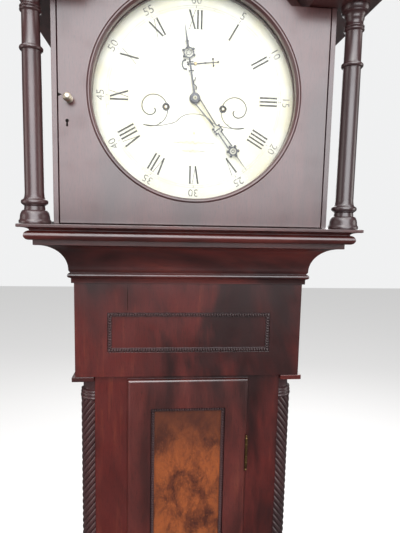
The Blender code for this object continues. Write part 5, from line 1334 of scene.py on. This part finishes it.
# %% Seconds hand
bm = bmesh.new()
hoop(bm, 0, 0, 0.0020, 0.0012, 0.0006)
bar(bm, (0, 0.0026), (0, 0.0370), 0.0018, 0.0008, 0.0006)
bar(bm, (-0.0052, 0.0290), (0.0052, 0.0290), 0.0014, 0.0014, 0.0006)
bar(bm, (0, -0.0026), (0, -0.0130), 0.0018, 0.0018, 0.0006)
curl(bm, [(0.0070 * math.sin(t), -0.0165 - 0.0050 * math.cos(t)) for t in
          (math.radians(-100 + 200 * i / 12) for i in range(13))], 0.0020)
for x, zz in ((-0.0069, -0.0160), (0.0069, -0.0160), (0, -0.0120), (-0.0052, 0.0290), (0.0052, 0.0290),
              (0, 0.0370), (0, 0.0160)):
    knob_on(bm, x, zz, 0.0017)
at = (0, mid_y("seconds_hand"), CENTRE.z + SECONDS_UP)
set_hand(bm, 83, at, "seconds_hand_pierced", "escape_arbor", "seconds_hand")

# %% [markdown]
# ## Pendulum, weights, pulleys and bell
#
# These are lathe work, so each is spun again with enough steps to be round. The wheels and plates of
# the movement keep their CAD shape, which is already right, and only gain their metal.

# %% Pendulum bob and rod
bob_z = (bob_low.z + bob_high.z) / 2
bob_y = (bob_low.y + bob_high.y) / 2
R, T = (bob_high.x - bob_low.x) / 2, (bob_high.y - bob_low.y) / 2
lens_line = [(R * math.sin(t), -T + (T - 0.0015) * (1 - math.cos(t)) / (1 - math.cos(1.2)))
             for t in (1.2 * i / 14 for i in range(15))]
edge_r = lens_line[-1][0]
lens_line = [(r * R / edge_r, h) for r, h in lens_line]
full = lens_line + [(R, 0.0015)] + [(r, -h) for r, h in lens_line[::-1]]
piece(turned(full, (0, bob_y, bob_z), "Y", 72), "bob_turned", brass, "pendulum", "pendulum_bob", ease=0)
nut = [(0.0024, bob_low.z - 0.0120), (0.0090, bob_low.z - 0.0118), (0.0098, bob_low.z - 0.0105),
       (0.0098, bob_low.z - 0.0040), (0.0090, bob_low.z - 0.0028), (0.0024, bob_low.z - 0.0026),
       (0.0024, bob_low.z - 0.0120)]
piece(turned(nut, (0, bob_y, 0), steps=32), "rating_nut", brass, "pendulum", ease=0)

# %% Weights and pulleys
WEIGHT_R, WEIGHT_H, WEIGHT_TRAVEL = 0.0270, 0.200, 0.70
LINE_R = 0.0008
for train in ("going", "strike"):
    low, high = corners(train + "_weight")
    x, yy = (low.x + high.x) / 2, (low.y + high.y) / 2
    r, top = WEIGHT_R, low.z + WEIGHT_H
    line = ([(0, low.z), (r - 0.003, low.z), (r, low.z + 0.003), (r, top - 0.008)]
            + [(r * math.cos(t), top - 0.008 + 0.010 * math.sin(t)) for t in
               (math.radians(85 * i / 8) for i in range(1, 9))]
            + [(0.0030, top + 0.0035), (0.0024, top + 0.006), (0.0024, top + 0.044), (0, top + 0.044)])
    piece(turned(line, (x, yy, 0), steps=48), train + "_weight_turned", iron, train + "_weight_body",
          train + "_weight")
    p_low, p_high = corners(train + "_pulley")
    px, pz = (p_low.x + p_high.x) / 2, (p_low.z + p_high.z) / 2
    groove = (p_high.x - p_low.x) / 2 - 0.0031
    h = (p_high.y - p_low.y) / 2
    rim = [(0.0022, -h), (groove + 0.0026, -h), (groove + 0.0030, -h + 0.0006)]
    rim += [(groove + 0.0028 * abs(t) ** 2, (h - 0.0010) * t) for t in (-1 + i / 4 for i in range(9))]
    rim += [(groove + 0.0030, h - 0.0006), (groove + 0.0026, h), (0.0022, h), (0.0022, -h)]
    piece(turned(rim, (px, yy, pz), "Y", 56), train + "_pulley_turned", brass, train + "_pulley_body",
          train + "_pulley", ease=0)
    bm = bmesh.new()
    for sy in (-1, 1):
        board((px - 0.004, yy + sy * (h + 0.0014) - 0.0007, pz - 0.032),
              (px + 0.004, yy + sy * (h + 0.0014) + 0.0007, pz + 0.005), bm)
    board((px - 0.004, yy - h - 0.0021, pz - 0.032), (px + 0.004, yy + h + 0.0021, pz - 0.029), bm)
    turned([(0, -h - 0.003), (0.0018, -h - 0.003), (0.0018, h + 0.003), (0, h + 0.003)], (px, yy, pz), "Y",
           24, bm)
    piece(bm, train + "_pulley_stirrup", steel, train + "_weight_body")

# %% Lines up from the pulleys
for train in ("going", "strike"):
    p_low, p_high = corners(train + "_pulley")
    px, pz = (p_low.x + p_high.x) / 2, (p_low.z + p_high.z) / 2
    l_low, l_high = corners(train + "_line")
    reach = (l_high.x - l_low.x) / 2 - 0.0007
    yy = (l_low.y + l_high.y) / 2
    for side, top in ((-1, l_high.z), (1, corners("seatboard")[0].z - 0.0003)):
        x = px + side * reach
        bm = turned([(0, pz), (LINE_R, pz), (LINE_R, top), (0, top)], (x, yy, 0), steps=10)
        made = piece(bm, f"{train}_line_{'drop' if side < 0 else 'tie'}", gut, "case", ease=0)
        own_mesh(made)
    bm = bmesh.new()
    loop = [(px + reach * math.cos(t), pz + reach * math.sin(t)) for t in
            (math.radians(180 + 180 * i / 24) for i in range(25))]
    dots = [bm.verts.new((loop[0][0] + LINE_R * math.cos(a), yy + LINE_R * math.sin(a), loop[0][1]))
            for a in (math.tau * i / 10 for i in range(10))]
    face = bm.faces.new(dots)
    bmesh.ops.spin(bm, geom=[face], cent=(px, yy, pz), axis=(0, -1, 0), angle=math.pi, steps=24)
    piece(bm, train + "_line_loop", gut, train + "_weight_body", train + "_line", ease=0)

# %% Bell
low, high = corners("bell")
bx, by = (low.x + high.x) / 2, (low.y + high.y) / 2
r = (high.x - low.x) / 2
height = high.z - low.z
outer_line = [(r, 0.0), (r * 0.985, 0.05), (r * 0.955, 0.16), (r * 0.92, 0.30), (r * 0.85, 0.50),
              (r * 0.74, 0.68),
              (r * 0.58, 0.83), (r * 0.38, 0.94), (r * 0.18, 0.99), (0.0026, 1.0)]
inner_line = [(max(0.0026, rr - 0.0022), max(0.0, hh - 0.065)) for rr, hh in outer_line[::-1]]
inner_line[-1] = (r - 0.0022, 0.0)
line = [(rr, low.z + hh * height) for rr, hh in outer_line + inner_line]
piece(turned(line + [line[0]], (bx, by, 0), steps=56), "bell_cup", bell_metal, "case", "bell", ease=0)

# %% Metal for the movement, deal for the boards
METALS = {
    brass: ("front_plate", "back_plate", "going_great_wheel", "strike_great_wheel", "going_barrel",
            "strike_barrel", "centre_wheel", "third_wheel", "escape_wheel", "minute_wheel", "hour_wheel",
            "pin_wheel", "gathering_wheel", "fly"),
    steel: ("anchor", "hammer", "rack", "pendulum_rod"),
    deal: ("backboard", "seatboard"),
}
for material, names in METALS.items():
    for name in names:
        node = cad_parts[name]
        node.data.materials.clear()
        node.data.materials.append(material)
print("carried nodes finished:", sum(len(n) for n in METALS.values()))

# %% [markdown]
# ## Floor and light
#
# The floor gives off a little light of its own and is left out of glossy reflections, and the world is
# brighter to the camera than to the clock, so the backdrop is pale while the varnish stays dark.
# The clock stands in front of open daylight. One large, high panel of cool sky light faces it, bright
# enough to lie as a pale sheen over the upright polished hood, whose greyer wood colour adds painted
# sheen to it, while the trunk, which mirrors the dim ground, keeps its deep red. A soft fill from the
# sides keeps the shadows open.

# %% Floor
bm = bmesh.new()
bmesh.ops.create_grid(bm, x_segments=1, y_segments=1, size=9.0)
mesh = bpy.data.meshes.new("floor")
bm.to_mesh(mesh)
bm.free()
floor = bpy.data.objects.new("floor", mesh)
scene.collection.objects.link(floor)
pale = bpy.data.materials.new("floor_pale")
pale.use_nodes = True
for socket, value in (("Base Color", tint(0.62, 0.61, 0.60)), ("Roughness", 0.8),
                      ("Emission Color", tint(1, 1, 1)),
                      ("Emission Strength", 0.38)):
    pale.node_tree.nodes["Principled BSDF"].inputs[socket].default_value = value
mesh.materials.append(pale)

# %% Lights and world
def panel_light(name, at, aim, size, power, colour=(1, 1, 1)):
    data = bpy.data.lights.new(name, "AREA")
    data.shape = "RECTANGLE"
    data.size, data.size_y = size
    data.energy = power
    data.color = colour
    made = bpy.data.objects.new(name, data)
    scene.collection.objects.link(made)
    made.location = at
    made.rotation_euler = (Vector(aim) - Vector(at)).to_track_quat("-Z", "Y").to_euler()
    return made


panel_light("sky", (0.15, -3.4, 2.75), (0.0, -0.1, 2.1), (3.8, 2.4), 150, (0.96, 0.97, 1.0))
panel_light("key", (-0.5, -2.4, 4.3), (0.0, -0.1, 1.6), (1.6, 1.0), 30, (1.0, 0.985, 0.95))
panel_light("overhead", (0.0, -1.2, 3.9), (0.0, -0.6, 0.0), (4.6, 3.4), 150, (0.97, 0.98, 1.0))
panel_light("left_fill", (-2.8, -0.6, 1.5), (0, 0, 1.2), (1.2, 2.0), 14, (1.0, 0.98, 0.95))
panel_light("right_fill", (2.8, -0.4, 1.5), (0, 0, 1.2), (1.2, 2.0), 18, (1.0, 0.98, 0.95))
panel_light("back_fill", (0.5, 2.6, 2.6), (0, 0, 1.2), (2.4, 2.0), 40)
floor.visible_glossy = False

world = bpy.data.worlds.new("studio")
world.use_nodes = True
sky_tree = world.node_tree
seen, soft = make(sky_tree, "LightPath"), make(sky_tree, "LightPath", out=2)
strength = 0.08 + seen * 0.86 + soft * 0.30
sky_tree.nodes["Background"].inputs["Color"].default_value = tint(0.93, 0.935, 0.94)
sky_tree.links.new(strength.socket, sky_tree.nodes["Background"].inputs["Strength"])
scene.view_settings.view_transform = "Standard"
scene.world = world
